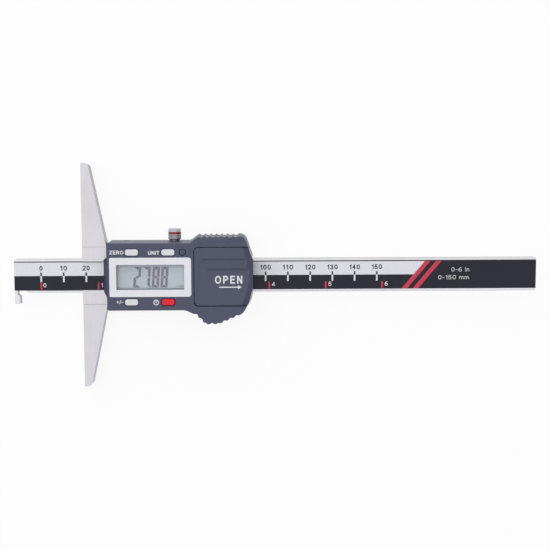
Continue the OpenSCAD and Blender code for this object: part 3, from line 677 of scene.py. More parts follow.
class CALIPER_OT_stage(bpy.types.Operator):
    """Make the white floor, the soft lamps and the camera"""

    bl_idname = "caliper.stage"
    bl_label = "Studio"

    # The middle of the object, which the lamps face
    middle = Vector((0.08, 0.0, 0.0))
    # The room's bright side, which is where the key lamp stands
    bright = Vector((-0.45, 0.55, 0.7))
    # How much of its own white the floor shows, next to the light that falls on it
    floor_share = 0.9

    def execute(self, context):
        studio = context.scene.caliper_studio
        self.room(context.scene, studio.ambient)
        self.floor()
        self.lamp("Key_lamp", Vector((-0.67, 0.82, 1.0)), 1.8, studio.key_watts)
        self.lamp("Fill_lamp", Vector((0.75, -0.35, 0.8)), 0.8, studio.fill_watts)
        self.camera(context.scene)
        context.scene.view_settings.view_transform = "Standard"
        return {"FINISHED"}

    def room(self, scene, ambient):
        """White to the camera, brighter towards the key lamp in reflections and as a light.

        A reflection shows the lamp in place of the wall behind it, so the wall is dark there.
        """
        world = bpy.data.worlds.new("White_room")
        scene.world = world
        world.use_nodes = True
        tree = world.node_tree
        tree.nodes.clear()
        toward = put(tree, "ShaderNodeTexCoord").outputs["Generated"]
        ray = put(tree, "ShaderNodeLightPath").outputs
        facing = put(
            tree, "ShaderNodeVectorMath", {0: toward, 1: self.bright}, operation="DOT_PRODUCT"
        ).outputs["Value"]
        walls = {"Value": facing, "From Min": 0.0, "From Max": 0.5, "To Min": 0.22, "To Max": 1.0}
        lamp = {"Value": facing, "From Min": 0.8, "From Max": 0.9, "To Min": 1.0, "To Max": 0.12}
        white = put(tree, "ShaderNodeMapRange", walls)
        behind = put(tree, "ShaderNodeMapRange", lamp)
        either = {0: ray["Is Glossy Ray"], 1: ray["Is Transmission Ray"]}
        mirrored = put(tree, "ShaderNodeMath", either, operation="MAXIMUM")
        levels = {"Value": mirrored, "To Min": ambient, "To Max": behind}
        share = put(tree, "ShaderNodeMapRange", levels)
        lit = put(tree, "ShaderNodeMath", {0: white, 1: share}, operation="MULTIPLY")
        seen = {0: lit, 1: ray["Is Camera Ray"]}
        level = put(tree, "ShaderNodeMath", seen, operation="MAXIMUM")
        sky = put(
            tree, "ShaderNodeBackground", {"Color": (1.0, 1.0, 1.0, 1.0), "Strength": level}
        )
        put(tree, "ShaderNodeOutputWorld", {"Surface": sky})

    def floor(self):
        """A wide pale disc of matt white card that keeps the object's shadow."""
        bm = bmesh.new()
        bmesh.ops.create_circle(bm, cap_ends=True, segments=96, radius=2.4)
        bmesh.ops.translate(bm, verts=bm.verts, vec=self.middle + Vector((0, 0, -0.02 * MM)))
        material, tree = blank_material("Matt_white_card")
        ray = put(tree, "ShaderNodeLightPath").outputs
        card = {"Color": (0.95, 0.95, 0.95, 1.0), "Roughness": 0.0}
        matt = put(tree, "ShaderNodeBsdfDiffuse", card)
        glow = put(
            tree, "ShaderNodeEmission", {"Color": (1.0, 1.0, 1.0, 1.0), "Strength": 1.0}
        )
        either = {0: ray["Is Camera Ray"], 1: ray["Is Glossy Ray"]}
        seen = put(tree, "ShaderNodeMath", either, operation="MAXIMUM")
        share = put(
            tree, "ShaderNodeMath", {0: seen, 1: self.floor_share}, operation="MULTIPLY"
        )
        both = put(tree, "ShaderNodeMixShader", {0: share, 1: matt, 2: glow})
        put(tree, "ShaderNodeOutputMaterial", {"Surface": both})
        show("Floor", poured(bm, "Floor"), material)

    def lamp(self, name, place, size, watts):
        """A square soft box that faces the middle of the object."""
        light = bpy.data.lights.new(name, "AREA")
        light.shape = "SQUARE"
        light.size = size
        light.energy = watts
        box = bpy.data.objects.new(name, light)
        bpy.context.scene.collection.objects.link(box)
        box.location = place
        box.rotation_euler = (self.middle - place).to_track_quat("-Z", "Y").to_euler()

    def camera(self, scene):
        """The photograph's own viewpoint, worked out from the printed scale."""
        forward = Vector((0.02607, -0.09675, -0.99497)).normalized()
        right = forward.cross(Vector((0.00473, 0.99531, -0.09666))).normalized()
        up = right.cross(forward)
        lens = bpy.data.cameras.new("Camera")
        lens.sensor_width = 36.0
        lens.lens = 61.72
        lens.clip_start = 0.01
        lens.clip_end = 20.0
        camera = bpy.data.objects.new("Camera", lens)
        scene.collection.objects.link(camera)
        turn = Matrix((right, up, -forward)).transposed().to_4x4()
        camera.matrix_world = Matrix.Translation((0.074743, 0.040872, 0.42705)) @ turn
        scene.camera = camera


class CALIPER_OT_beam(bpy.types.Operator):
    """Make the ground steel beam with its hook, and finish the strip under its label"""

    bl_idname = "caliper.beam"
    bl_label = "Beam"

    def execute(self, context):
        steel = ground("Ground_stainless_beam", colours().beam, 0.3, ALONG)
        piece = dressed("beam", "Beam", steel, sizes().steel_round)
        # The milled side walls are duller than the ground faces, and their darker colour is
        # painted shade
        milled_and_shaded = ground("Milled_beam_side_painted_shade", "#A9A7AD", 0.42, ALONG, 0.006 * MM, 0.2 * MM)
        refaced(piece, milled_and_shaded, lambda middle, normal: abs(normal.z) < UPRIGHT_WALL)
        laminate = moulded("Black_glass_laminate", "#303238", 0.4, drift=0.06)
        finished("scale_board", laminate)
        return {"FINISHED"}


class CALIPER_OT_scale(bpy.types.Operator):
    """Make the printed label: its light and dark fields, stripes, lines and figures"""

    bl_idname = "caliper.scale"
    bl_label = "Printed scale"

    # Where both scales have their zero, where the stripes meet the label's upper edge, and
    # how wide they are, in millimetres, with how far a stripe leans for its height
    zero = -18.45
    stripes_at = (153.2, 158.2)
    stripe_width = 2.5
    lean = 10.3 / 12.2
    # The foot of the millimetre figures, and half the width of one, two and three digits
    figure_foot = 2.35
    half_widths = (0.72, 1.57, 2.36)
    # Each scale's number of lines and pitch, and the span of each of its rows of lines
    millimetres = (16, 10.0)
    inches = (7, 25.4)
    rows = (
        ("Millimetre_lines_dark", millimetres, 0.0, 1.53, "dark"),
        ("Millimetre_lines_white", millimetres, -2.77, 0.0, "white"),
        ("Inch_lines", inches, -6.1, -3.04, "red"),
    )

    def execute(self, context):
        low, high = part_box("scale_label")
        inks = {
            "dark": printed("Black_label_film", colours().label_dark, 0.36),
            "light": printed("Light_label_film", colours().label, 0.42, 0.35),
            "red": printed("Red_ink", colours().red_ink, 0.4, 0.35),
            "white": printed("White_ink", colours().white_ink, 0.45, 0.35),
        }
        base = show("Label_base", plain_mesh("scale_label", "Label"), inks["dark"])
        ink = sizes().ink
        left, top, bottom = low.x, high.y, low.y

        def slant(x_top, *heights):
            """Points of a slanted line that meets the top edge at x_top, at some heights."""
            return [(x_top * MM - (top - y) * self.lean, y) for y in heights]

        lower, upper = slant(self.stripes_at[0], 0.0, top)
        field = [(left, 0.0), lower, upper, (left, top)]
        stripes = []
        for x in self.stripes_at:
            near = slant(x, bottom, top)
            far = slant(x + self.stripe_width, bottom, top)
            stripes.append([near[0], far[0], far[1], near[1]])
        foot, level = high.z - ink, high.z + ink / 2
        pieces = [
            base,
            prism("Light_field", [[field]], foot, level, inks["light"]),
            prism("Stripes", [stripes], foot, level + ink / 4, inks["red"]),
        ]
        whole = joined("Scale_label", pieces)
        rides(whole, "beam", ["scale_label"])
        self.lines(high.z + ink, ink, inks)
        self.figures(high.z + ink, ink, inks)
        return {"FINISHED"}

    def lines(self, level, ink, inks):
        """The graduation lines of both scales."""
        tree = tick_row_plan()
        for name, (count, pitch), low, high, colour in self.rows:
            row = grown(
                name,
                tree,
                Count=count,
                Start=(self.zero * MM, (low + high) / 2 * MM, level - ink / 2),
                Pitch=(pitch * MM, 0.0, 0.0),
                Line=(sizes().tick_width, (high - low) * MM, ink),
                Ink=inks[colour],
            )
            rides(row, "beam")

    def figures(self, level, ink, inks):
        """The millimetre figures above the lines, the inch figures beside them."""
        pen = sizes().figure_pen
        foot = self.figure_foot * MM
        figures = []
        for i in range(self.millimetres[0]):
            text = str(10 * i)
            middle = (self.zero + 10 * i) * MM
            half = self.half_widths[len(text) - 1] * MM
            box = (middle - half, foot, middle + half, foot + sizes().figure_height)
            figures += lettering(text, box, pen, gap=0.42)
        made = prism("Millimetre_figures", figures, level - ink, level, inks["dark"])
        rides(made, "beam")
        figures = []
        for i in range(self.inches[0]):
            x = self.zero + self.inches[1] * i + (0.85, 1.2)[i > 0]
            wide = 0.65 if i == 1 else 1.4
            figures += lettering(str(i), in_mm(x, -5.1, x + wide, -3.2), 0.66 * pen)
        thin = 0.5 * pen
        figures += lettering("0-6 in", in_mm(165.2, 1.15, 173.3, 3.05), thin)
        figures += lettering("0-150 mm", in_mm(159.3, -2.35, 173.2, -0.45), thin)
        made = prism("White_figures", figures, level - ink, level, inks["white"])
        rides(made, "beam")


class CALIPER_OT_slider(bpy.types.Operator):
    """Make the steel slider with its measuring base, its gib and its lock pad"""

    bl_idname = "caliper.slider"
    bl_label = "Slider and base"

    # Dark strips painted as the shade where the base steps down to its wings, in millimetres:
    # the low sides of the two strips, how far both reach along X, their width and their height
    corners_y = (12.8, -12.95)
    corners_x = (0.15, 10.7)
    corner_width = 0.15
    step_z = 6.9

    def execute(self, context):
        steel = ground("Satin_stainless_base", colours().steel, 0.36, ACROSS)
        # A coarser bevel would cut into the base's low step
        piece = dressed("slider_frame", "Slider", steel, 0.04 * MM, steps=2)
        # The walls facing +X are milled, so they are duller than the ground face, and their
        # darker colour is painted shade
        milled_and_shaded = ground("Milled_stainless_side_painted_shade", "#ACAAB0", 0.42, ALONG, 0.006 * MM, 0.2 * MM)
        refaced(piece, milled_and_shaded, lambda middle, normal: normal.x > 0.8)
        # A dark strip at each step, painted as the shade that falls there
        shaded = ground("Painted_step_shade", "#A09EA4", 0.5, ALONG)
        near, far = self.corners_x
        strips = [
            [box_shape(*in_mm(near, y, far, y + self.corner_width))] for y in self.corners_y
        ]
        foot = self.step_z * MM
        made = prism("Painted_step_shade_lines", strips, foot, foot + 0.006 * MM, shaded)
        rides(made, "slider")
        brass = ground("Machined_brass", "#C9A55A", 0.3, ALONG, 0.003 * MM)
        finished("gib_strip", brass)
        dressed("lock_pad", "Lock_pad", brass, 0.06 * MM)
        return {"FINISHED"}


class CALIPER_OT_housing(bpy.types.Operator):
    """Make the moulded housing with its serrated grips, and the blanking plug"""

    bl_idname = "caliper.housing"
    bl_label = "Housing"

    # The upper grip, in millimetres: its ends along X, its lowest Y, and its crests as
    # pairs of a height and the distance from the scale's axis
    grip_x = (52.15, 69.6)
    grip_y = 17.2
    crests = ((0.6, 18.5), (14.6, 18.0), (15.3, 17.88), (15.6, 17.58))
    # The share of their depth that the grip's scallops keep
    kept_depth = 0.6
    # The opening over the display: its ends along X, its half width and its floor
    well_x = (14, 48.5)
    well_y = 8
    well_floor = 11.5
    # How far the nose reaches along X, and how its slope faces
    nose_end = 13
    nose_slope = (-0.995, -0.5)
    # The height up to which the outer walls are satin
    satin_top = 15.2

    def ease_grip(self, vertex):
        """Makes the upper grip's scallops shallower: their floors come nearer the crests."""
        x, y, z = vertex.co / MM
        if not (self.grip_x[0] < x < self.grip_x[1] and y > self.grip_y and z > 0.5):
            return
        for (z0, y0), (z1, y1) in zip(self.crests, self.crests[1:]):
            if z0 - 0.1 <= z <= z1 + 0.1:
                crest = y0 + (y1 - y0) * (z - z0) / (z1 - z0)
                if y < crest:
                    vertex.co.y = (crest - self.kept_depth * (crest - y)) * MM
                return

    def execute(self, context):
        slate = colours().housing
        relief = 0.008 * MM
        plastic = moulded("Slate_moulded_nylon", slate, 0.2, relief)
        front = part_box("display_housing")[1].z
        lid_low, lid_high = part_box("battery_lid")

        def opening(edge):
            """Whether an edge of the front lies round the lid, the display, a key or the plug."""
            a, b = (v.co for v in edge.verts)
            y = (a.y + b.y) / 2
            at_front = min(a.z, b.z) >= front - 0.01 * MM
            return at_front and lid_low.y - 0.3 * MM < y < lid_high.y + 0.3 * MM

        def in_well(middle, normal):
            """Whether a face is a wall of the opening over the display."""
            (near, far), wide = self.well_x, self.well_y
            inside = near < middle.x < far and abs(middle.y) < wide
            return inside and middle.z > self.well_floor and abs(normal.z) < UPRIGHT_WALL

        def on_side(middle, normal):
            """Whether a face is a part of the outer walls."""
            return middle.z < self.satin_top and abs(normal.z) < UPRIGHT_WALL

        def on_nose(middle, normal):
            """Whether a face is a part of the nose's slope."""
            steep, flat = self.nose_slope
            return middle.x < self.nose_end and steep < normal.x < flat

        mesh = plain_mesh("display_housing", "Housing")
        for v in mesh.vertices:
            self.ease_grip(v)
        piece = show("Housing", mesh, plastic)
        softened(piece, sizes().moulded_round, chosen=opening)
        # The outer walls left the mould with less gloss than the front
        satin = moulded("Satin_moulded_walls", slate, 0.4, relief, gloss=0.46)
        refaced(piece, satin, on_side)
        # The nose's slope is matt, so it doesn't mirror the light label below it
        matt = moulded("Matt_moulded_nylon", slate, 0.6, relief, gloss=0.02)
        refaced(piece, matt, on_nose)
        # The walls round the display take the frame's light colour, painted light that lessens
        # the shade inside the opening
        light = moulded("Painted_light_well", colours().bezel, 0.42, drift=0.012)
        refaced(piece, light, in_well)
        rides(piece, "slider", ["display_housing"])
        dressed("blanking_plug", "Blanking_plug", plastic, 0.12 * MM, slim=0.2 * MM)
        return {"FINISHED"}


class CALIPER_OT_lid(bpy.types.Operator):
    """Make the battery lid with its finger hollow, its sunk panel and its mark"""

    bl_idname = "caliper.lid"
    bl_label = "Battery lid"

    # All in millimetres. The plate's sides, its near corners' radius and its rim's rounding
    inset = 0.12
    bottom = -12.8 + inset
    top = 13.1 - inset
    near_round = 1.8
    rim = 0.32
    # The level of its face, and the level at which the solid's rails join it
    face = 15.615
    joint = 13.89
    # The bevel at the far end: the middle and radius of its inner edge, and its fall
    bevel_middle = (40.0, 0.4)
    bevel_radius = 33.3
    bevel_fall = 1.3 / 2.9
    # How softly the bevel meets the face, and the depths of the finger hollow, of the
    # sunk panel, and of the panel's further step past its near margin
    blend = 0.05
    hollow_depth = 0.34
    panel_depth = 0.22
    panel_step = 0.16
    # How far the mesh's rows lie from an edge, and their pitch in between
    edge_rows = (0, 0.012, 0.035, 0.07, 0.11, 0.16, 0.22, 0.28, 0.34, 0.45, 0.6, 0.8)
    pitch = 0.26

    def execute(self, context):
        plastic = moulded("Slate_moulded_lid", colours().housing, 0.2, 0.008 * MM)
        self.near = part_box("battery_lid")[0].x / MM + self.inset
        self.far = self.far_end()
        whole = joined("Battery_lid", [self.plate(plastic), self.under(plastic)])
        rides(whole, "battery_lid", ["battery_lid"])
        white = printed("White_pad_print", colours().white_ink, 0.45)
        strokes = lettering("OPEN", in_mm(59.2, -2.9, 71.2, 0.6), 0.62 * MM, 0.5)
        arrow = (
            [(70.9, -4.45), (69.3, -3.6), (69.3, -4.2), (69.3, -4.7), (69.3, -5.3)],
            [(61.0, -4.2), (61.0, -4.7), (69.3, -4.7), (69.3, -4.2)],
        )
        strokes.append([[in_mm(*corner) for corner in shape] for shape in arrow])
        mark = prism("Lid_mark", strokes, 0.0, sizes().ink, white)
        for v in mark.data.vertices:
            v.co.z += self.height(v.co.x / MM, v.co.y / MM) * MM - 0.003 * MM
        rides(mark, "battery_lid")
        return {"FINISHED"}

    def far_end(self):
        """The far end's outer edge as (y, x) pairs, as the plain solid has it."""
        edge = []
        for v in frame["nodes"]["battery_lid"].data.vertices:
            x, y, z = v.co / MM
            if x > 71 and z > 14.05:
                edge.append((y, x))
        hull = []
        for y, x in sorted(edge):
            while hull and abs(hull[-1][0] - y) < 0.02 and hull[-1][1] <= x:
                hull.pop()
            while len(hull) > 1 and self.hollow(hull[-2], hull[-1], (y, x)):
                hull.pop()
            if not hull or y - hull[-1][0] > 0.02:
                hull.append((y, x))
        if len(hull) < 3:
            raise RuntimeError("the lid's far end was not found")
        return hull

    @staticmethod
    def hollow(a, b, c):
        """Whether b lies on or inside the line from a to c."""
        return (b[1] - a[1]) * (c[0] - a[0]) <= (c[1] - a[1]) * (b[0] - a[0])

    @staticmethod
    def ease(value, start, end):
        """A soft step from 0 at the start to 1 at the end."""
        t = min(1.0, max(0.0, (value - start) / (end - start)))
        return t * t * (3 - 2 * t)

    @staticmethod
    def rounding(distance, radius):
        """How far a quarter round stands back at this distance from its outer side."""
        if distance >= radius:
            return 0.0
        return radius - math.sqrt(max(0.0, radius * radius - (radius - distance) ** 2))

    def far_x(self, y):
        """The x of the far end at this y."""
        if y <= self.far[0][0]:
            return self.far[0][1]
        for (y0, x0), (y1, x1) in zip(self.far, self.far[1:]):
            if y <= y1:
                return x0 + (x1 - x0) * (y - y0) / (y1 - y0)
        return self.far[-1][1]

    def near_x(self, y):
        """The x of the near end at this y, round the corners."""
        return self.near + self.rounding(min(y - self.bottom, self.top - y), self.near_round)

    def height(self, x, y):
        """The level of the lid's face: a finger hollow, a sunk panel, a margin and a bevel."""
        ease = self.ease
        hollow = self.hollow_depth * (ease(y, 8.4, 7.0) - ease(y, 7.0, 4.4))
        hollow *= ease(x, 52.0, 54.2) * (1 - ease(x, 71.2, 74.6))
        near_corner = 0.42 * max(0.0, 56.5 - x)
        panel = ease(x, 55.6, 56.7) * self.panel_step + self.panel_depth
        panel *= ease(y - near_corner, 4.3, 2.5)
        panel *= ease(x, 51.3, 52.4) * min(1.0, max(0.0, (y + 12.4) / 14.5))
        top = self.face - hollow - panel
        middle_x, middle_y = self.bevel_middle
        reach = math.hypot(x - middle_x, y - middle_y) - self.bevel_radius
        bevel = self.face - self.bevel_fall * reach
        return (top + bevel - math.sqrt((top - bevel) ** 2 + self.blend**2)) / 2

    def edge_distance(self, x, y, far):
        """How far a point of the plate lies from the plate's outline."""
        r = self.near_round
        side = min(y - self.bottom, self.top - y)
        if x < self.near + r and side < r:
            return max(0.0, r - math.hypot(self.near + r - x, r - side))
        return max(0.0, min(x - self.near, side, far - x))

    def plate(self, plastic):
        """The lid's plate: a fine mesh between its four edges, with a rounded rim."""
        between = int((self.top - self.bottom - 2) / self.pitch) + 1
        rows = [self.bottom + d for d in self.edge_rows]
        rows += [self.bottom + 1.05 + self.pitch * i for i in range(between)]
        rows += [self.top - d for d in self.edge_rows[::-1]]
        bm = bmesh.new()
        rings = []
        for y in rows:
            near, far = self.near_x(y), self.far_x(y) - 0.004
            xs = [near + d for d in self.edge_rows]
            xs += [near + 1.0 + (far - near - 2.0) * i / 80 for i in range(81)]
            xs += [far - d for d in self.edge_rows[::-1]]
            upper, lower = [], []
            for x in xs:
                z = self.height(x, y)
                rim = self.rounding(self.edge_distance(x, y, far), self.rim)
                upper.append(bm.verts.new(in_mm(x, y, z - rim)))
                lower.append(bm.verts.new(in_mm(x, y, min(self.joint + 0.01, z - 0.6))))
            rings.append(upper + lower[::-1])
        skinned(bm, rings)
        for ring in (rings[0], rings[-1]):
            for i in range(len(xs) - 1):
                bm.faces.new((ring[i], ring[i + 1], ring[-i - 2], ring[-i - 1]))
        bmesh.ops.recalc_face_normals(bm, faces=bm.faces)
        mesh = poured(bm, "Lid_plate", crease=50)
        mesh.shade_smooth()
        return show("Lid_plate", mesh, plastic)

    def under(self, plastic):
        """The rails and the end wall below the plate, as the plain solid has them."""
        mesh = plain_mesh("battery_lid", "Lid_under")
        bm = bmesh.new()
        bm.from_mesh(mesh)
        cut = bmesh.ops.bisect_plane(
            bm,
            geom=list(bm.verts) + list(bm.edges) + list(bm.faces),
            plane_co=(0, 0, self.joint * MM),
            plane_no=(0, 0, 1),
            clear_outer=True,
        )
        rim = [e for e in cut["geom_cut"] if isinstance(e, bmesh.types.BMEdge)]
        bmesh.ops.holes_fill(bm, edges=rim, sides=0)
        bmesh.ops.recalc_face_normals(bm, faces=bm.faces)
        bm.to_mesh(mesh)
        bm.free()
        return show("Lid_under", mesh, plastic)


class CALIPER_OT_display(bpy.types.Operator):
    """Make the light frame, the clear window, the display glass and its digits"""

    bl_idname = "caliper.display"
    bl_label = "Display"

    segments = {"2": "abged", "7": "abc", "8": "abcdefg"}
    # The figures and where each starts along X, then their foot, width and height
    figures = (("2", 23.15), ("7", 27.3), ("8", 31.3), ("8", 35.1))
    foot = -4.66
    figure_size = (3.15, 9.15)
    # How far a figure leans for its height
    lean = 0.07
    # The window's clear opening, and the width of the shade painted along its edge at the left,
    # the foot, the right and the top
    opening = (16.17, -5.4, 45.77, 5.5)
    border_widths = (0.12, 0.4, 0.1, 0.04)

    def execute(self, context):
        light = moulded("Light_moulded_frame", colours().bezel, 0.42, drift=0.012)
        dressed("display_bezel", "Display_frame", light, 0.14 * MM)
        # A clear acrylic window is almost nothing but a faint sheen and a cool cast
        cool = (0.86, 0.9, 0.92)
        haze = (6 * MM, 1.0, 0.0), (6 * MM, 1.0, 0.02)
        clear = surface("Clear_acrylic", cool, 0.08, *haze, {"IOR": 1.49, "Alpha": 0.1})
        finished("display_window", clear)
        # A reflective liquid crystal panel is a grey-blue polariser over a silvered backing,
        # whose fine grain gives a soft sparkle while the tone drifts across it
        backing = (22 * MM, 0.0, 0.035), (0.3 * MM, 2.0, 0.05)
        panel = surface("Display_glass", colours().glass, 0.34, *backing, {"IOR": 1.52})
        finished("lcd_panel", panel)
        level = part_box("lcd_panel")[1].z
        dark = printed("Display_segments", colours().segment)
        strokes = [self.digit(figure, x * MM) for figure, x in self.figures]
        point = ((30.42, -4.66), (31.02, -4.66), (31.07, -4.05), (30.47, -4.05))
        strokes.append([[in_mm(*corner) for corner in point]])
        unit = lettering("mm", in_mm(42.2, -4.7, 45.2, -3.35), 0.24 * MM)
        for name, shapes, ink in (
            ("Display_digits", strokes, dark),
            ("Display_unit", unit, printed("Display_unit", "#8E929C")),
        ):
            made = prism(name, shapes, level, level + THIN_INK, ink)
            rides(made, "slider")
        self.border()
        return {"FINISHED"}

    def border(self):
        """The dark line painted on the window just inside the frame's opening, as the shade of
        the frame's edge.
        """
        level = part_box("display_window")[1].z
        x0, y0, x1, y1 = in_mm(*self.opening)
        left, foot, right, top = in_mm(*self.border_widths)
        outer = box_shape(x0, y0, x1, y1)
        inner = box_shape(x0 + left, y0 + foot, x1 - right, y1 - top)
        shapes = [[outer[i - 1], outer[i], inner[i], inner[i - 1]] for i in range(4)]
        # Its dark colour is painted shade, widest at the foot of the opening
        ink = printed("Painted_window_edge_shade", "#5C5C66")
        made = prism("Window_edge_shade", [shapes], level, level + THIN_INK, ink)
        rides(made, "slider")

    def digit(self, figure, x):
        """The lit segments of one slanted figure, as flat shapes with mitred ends."""
        wide, tall = in_mm(*self.figure_size)
        t = sizes().digit_stroke
        g = t * 0.09
        m = tall / 2
        half = t / 2
        right = wide - t
        places = {
            "a": [(g, tall), (wide - g, tall), (right - g, tall - t), (t + g, tall - t)],
            "b": [(wide, tall - g), (wide, m + g), (wide - half, m + g)]
            + [(right, m + half + g), (right, tall - t - g)],
            "c": [(wide, g), (right, t + g), (right, m - half - g)]
            + [(wide - half, m - g), (wide, m - g)],
            "d": [(g, 0.0), (t + g, t), (right - g, t), (wide - g, 0.0)],
            "e": [(0.0, g), (0.0, m - g), (half, m - g), (t, m - half - g), (t, t + g)],
            "f": [(0.0, tall - g), (t, tall - t - g), (t, m + half + g)]
            + [(half, m + g), (0.0, m + g)],
            "g": [(half + g, m), (t + g, m + half), (right - g, m + half)]
            + [(wide - half - g, m), (right - g, m - half), (t + g, m - half)],
        }
        foot = self.foot * MM
        return [
            [(x + a + b * self.lean, foot + b) for a, b in places[s]]
            for s in self.segments[figure]
        ]


class CALIPER_OT_keys(bpy.types.Operator):
    """Make the four key caps and the marks printed beside them"""

    bl_idname = "caliper.keys"
    bl_label = "Keys"

    def execute(self, context):
        light = moulded("Light_key_cap", colours().key, 0.4, drift=0.012)
        red = moulded("Red_key_cap", colours().power, 0.36, drift=0.02, gloss=0.35)
        for key, cap in (("zero", light), ("unit", light), ("step", light), ("power", red)):
            name = key.capitalize() + "_key"
            dressed(key + "_key", name, cap, 0.26 * MM, steps=4, slim=0.08 * MM)
        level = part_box("display_housing")[1].z
        white = printed("White_key_print", colours().white_ink, 0.45)
        strokes = lettering("ZERO", in_mm(13.34, 10.15, 19.45, 11.83), 0.34 * MM, 0.34)
        strokes += lettering("UNIT", in_mm(30.14, 9.95, 35.08, 11.63), 0.34 * MM, 0.34)
        strokes += lettering("+/-", in_mm(16.11, -11.6, 19.07, -9.87), 0.3 * MM)
        strokes += self.power_sign(33.4, -11.0)
        made = prism("Key_marks", strokes, level, level + sizes().ink, white)
        rides(made, "slider")
        return {"FINISHED"}

    def power_sign(self, x, y):
        """A nearly closed ring with an upright stroke in its gap."""
        ring = [in_mm(*p) for p in arc(x, y, 1.02, 1.02, 118, 422, 30)]
        stroke = [in_mm(x, y - 0.1), in_mm(x, y + 1.2)]
        return [penned(ring, 0.4 * MM), penned(stroke, 0.36 * MM)]


class CALIPER_OT_lock(bpy.types.Operator):
    """Make the lock screw with its knurled head and its coloured ring"""

    bl_idname = "caliper.lock"
    bl_label = "Lock screw"

    # In millimetres: the head's length, its far edge's bevel, and the stem's, collar's and
    # knurl's further sizes
    head = 5.0
    cap = 0.45
    stem_r = 1.5
    collar_r = 2.4
    collar_t = 0.36
    # How far the smooth bands stand above the knurl's core, and how long the near one is
    band_up = 0.12
    band = 0.15
    # How many sides a turned piece has
    steps = 72

    def execute(self, context):
        steel = ground("Turned_steel_screw", colours().knob, 0.34, ACROSS)
        red = moulded("Red_enamel", colours().ring, 0.25, 0.002 * MM, 0.02, 0.35)
        dressed("lock_ring", "Lock_ring", red, 0.05 * MM)
        # A dark collar under the head, painted as the shade in the gap between the head and the
        # housing
        collar_shade = ground("Painted_shade_collar", "#34343C", 0.4, ACROSS)
        bright = ground("Bright_turned_end", "#CFCCD2", 0.3, ACROSS)
        low, high = (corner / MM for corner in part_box("lock_screw"))
        ring_low, ring_high = (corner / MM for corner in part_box("lock_ring"))
        self.middle = (low + high) / 2
        tip, end = low.y, high.y
        neck, cap = end - self.head, end - self.cap
        ridge = sizes().knurl_ridge / MM
        core = (high.x - low.x) / 2 - ridge
        rim = core + self.band_up
        groove = (ring_high.x - ring_low.x) / 2 - 0.3
        collar, wide = neck - self.collar_t, self.collar_r
        turned = (
            ("Stem", steel, (tip, 1.4), (tip + 0.1, self.stem_r), (neck + 0.1, self.stem_r)),
            ("Collar", collar_shade, (collar, 2.3), (collar + 0.06, wide), (neck, wide)),
            ("Groove", steel, (ring_low.y, groove), (ring_high.y, groove)),
            ("Near_edge", steel, (neck, core - 0.1), (neck + self.band, rim)),
            ("Far_edge", bright, (cap, rim), (end - 0.15, core - 0.15), (end, core - 0.7)),
        )
        pieces = [self.turned(name, metal, profile) for name, metal, *profile in turned]
        tree = knurl_plan()
        for name, start, stop, metal in (
            ("Knurl_near", neck + self.band, ring_low.y, steel),
            ("Knurl_far", ring_high.y, cap, bright),
        ):
            band = grown(
                name,
                tree,
                Count=sizes().knurl_count,
                Radius=core * MM,
                Ridge=ridge * MM,
                Length=(stop - start) * MM,
                Metal=metal,
            )
            place = in_mm(self.middle.x, (start + stop) / 2, self.middle.z)
            lay = Matrix.Rotation(math.radians(90), 4, "X")
            band.data.transform(Matrix.Translation(place) @ lay)
            pieces.append(band)
        rides(joined("Lock_screw", pieces), "lock_screw", ["lock_screw"])
        return {"FINISHED"}

    def turned(self, name, material, profile):
        """A round piece along Y from (y, radius) pairs, closed at both ends."""
        bm = bmesh.new()
        angles = [2 * math.pi * i / self.steps for i in range(self.steps)]
        x, z = self.middle.x, self.middle.z
        rings = [
            [bm.verts.new(in_mm(x + r * math.cos(a), y, z + r * math.sin(a))) for a in angles]
            for y, r in profile
        ]
        skinned(bm, rings)
        bm.faces.new(rings[0])
        bm.faces.new(rings[-1])
        bmesh.ops.recalc_face_normals(bm, faces=bm.faces)
        for face in bm.faces:
            face.smooth = len(face.verts) == 4
        return show(name, poured(bm, name, crease=20), material)


class CALIPER_OT_screws(bpy.types.Operator):
    """Finish the dark screws in the back and the small ones inside"""

    bl_idname = "caliper.screws"
    bl_label = "Screws"

    def execute(self, context):
        dark = ground("Blackened_steel_screw", "#5A5A5E", 0.32, UPRIGHT, 0.002 * MM, 0.15 * MM)
        bright = ground("Zinc_plated_screw", "#B8BABD", 0.3, UPRIGHT, 0.002 * MM, 0.15 * MM)
        for node, metal in (
            ("housing_screws", dark),
            ("gib_set_screws", dark),
            ("board_screws", bright),
        ):
            dressed(node, node.capitalize(), metal, 0.05 * MM)
        return {"FINISHED"}


class CALIPER_OT_inside(bpy.types.Operator):
    """Finish the circuit board, its chip, the key sheets and the display's holder"""

    bl_idname = "caliper.inside"
    bl_label = "Electronics"

    # The nodes, then the finish's name, colour, roughness, relief (in millimetres), change
    # of tone and, where it isn't the usual one, the size of its grain (in millimetres)
    finishes = (
        (["circuit_board"], "Green_solder_mask", "#1F5B38", 0.32, 0.004, 0.08, 0),
        (["controller_chip"], "Black_cured_resin", "#17171A", 0.22, 0.01, 0.1, 1.5),
        (["upper_keypad", "lower_keypad"], "Grey_silicone_sheet", "#6B6D70", 0.62, 0.01, 0.04, 0),
        (["zebra_connectors"], "Layered_silicone", "#C9A9A6", 0.6, 0.01, 0.15, 0.2),
        (["lcd_holder"], "White_moulded_holder", "#DEDEDA", 0.45, 0.006, 0.02, 0),
    )

    def execute(self, context):
        for nodes, name, colour, roughness, relief, drift, grain in self.finishes:
            finish = moulded(name, colour, roughness, relief * MM, drift, grain=grain * MM)
            for node in nodes:
                finished(node, finish)
        return {"FINISHED"}


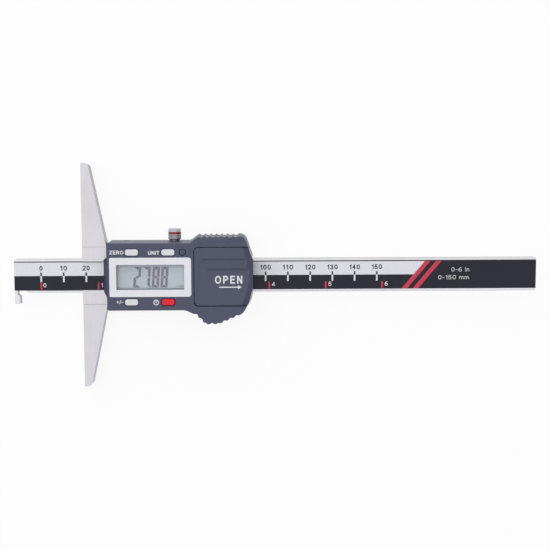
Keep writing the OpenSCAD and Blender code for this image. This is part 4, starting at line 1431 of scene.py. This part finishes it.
class CALIPER_OT_battery(bpy.types.Operator):
    """Finish the coin cell and its two spring contacts"""

    bl_idname = "caliper.battery"
    bl_label = "Battery"

    def execute(self, context):
        fine = (0.001 * MM, 0.2 * MM)
        can = ground("Nickel_plated_can", "#A9A9AE", 0.3, ALONG, *fine)
        dressed("battery", "Coin_cell", can, 0.12 * MM)
        low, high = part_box("battery")
        x, y = (low.x + high.x) / 2, low.y + 0.27 * (high.y - low.y)
        arm, half = 1.5 * MM, 0.2 * MM
        plus = [
            [box_shape(x - across, y - up, x + across, y + up)]
            for across, up in ((arm, half), (half, arm))
        ]
        stamped = ground("Stamped_nickel", "#6E6E74", 0.4, ALONG, *fine)
        made = prism("Plus_sign", plus, high.z, high.z + THIN_INK, stamped)
        rides(made, "slider")
        spring = ground("Plated_spring_strip", "#D2C49A", 0.28, ALONG, *fine)
        finished("battery_contact_plus", spring)
        finished("battery_contact_minus", spring)
        return {"FINISHED"}


class CALIPER_PT_panel(bpy.types.Panel):
    """Lists the settings and the pieces in the 3D view's sidebar"""

    bl_idname = "CALIPER_PT_panel"
    bl_label = "Depth caliper"
    bl_space_type = "VIEW_3D"
    bl_region_type = "UI"
    bl_category = "Depth caliper"

    def draw(self, context):
        scene = context.scene
        for title, group in (
            ("Sizes", scene.caliper_sizes),
            ("Colours", scene.caliper_colours),
            ("Studio", scene.caliper_studio),
        ):
            box = self.layout.box()
            box.label(text=title)
            for key in group.__annotations__:
                box.prop(group, key)
        box = self.layout.box()
        box.label(text="Pieces")
        for piece in PIECES:
            box.operator(piece.bl_idname)


GROUPS = (
    ("caliper_sizes", CaliperSizes),
    ("caliper_colours", CaliperColours),
    ("caliper_studio", CaliperStudio),
)
PIECES = (
    CALIPER_OT_stage,
    CALIPER_OT_beam,
    CALIPER_OT_scale,
    CALIPER_OT_slider,
    CALIPER_OT_housing,
    CALIPER_OT_lid,
    CALIPER_OT_display,
    CALIPER_OT_keys,
    CALIPER_OT_lock,
    CALIPER_OT_screws,
    CALIPER_OT_inside,
    CALIPER_OT_battery,
)


def register():
    """Adds the settings, the operators and the panel."""
    for name, group in GROUPS:
        bpy.utils.register_class(group)
        setattr(bpy.types.Scene, name, bpy.props.PointerProperty(type=group))
    for cls in (*PIECES, CALIPER_PT_panel):
        bpy.utils.register_class(cls)


def unregister():
    """Takes them away again."""
    for cls in reversed((*PIECES, CALIPER_PT_panel)):
        bpy.utils.unregister_class(cls)
    for name, group in reversed(GROUPS):
        delattr(bpy.types.Scene, name)
        bpy.utils.unregister_class(group)


def main():
    """Makes every piece in turn."""
    register()
    for piece in PIECES:
        group, name = piece.bl_idname.split(".")
        getattr(getattr(bpy.ops, group), name)()


if __name__ == "__main__":
    main()
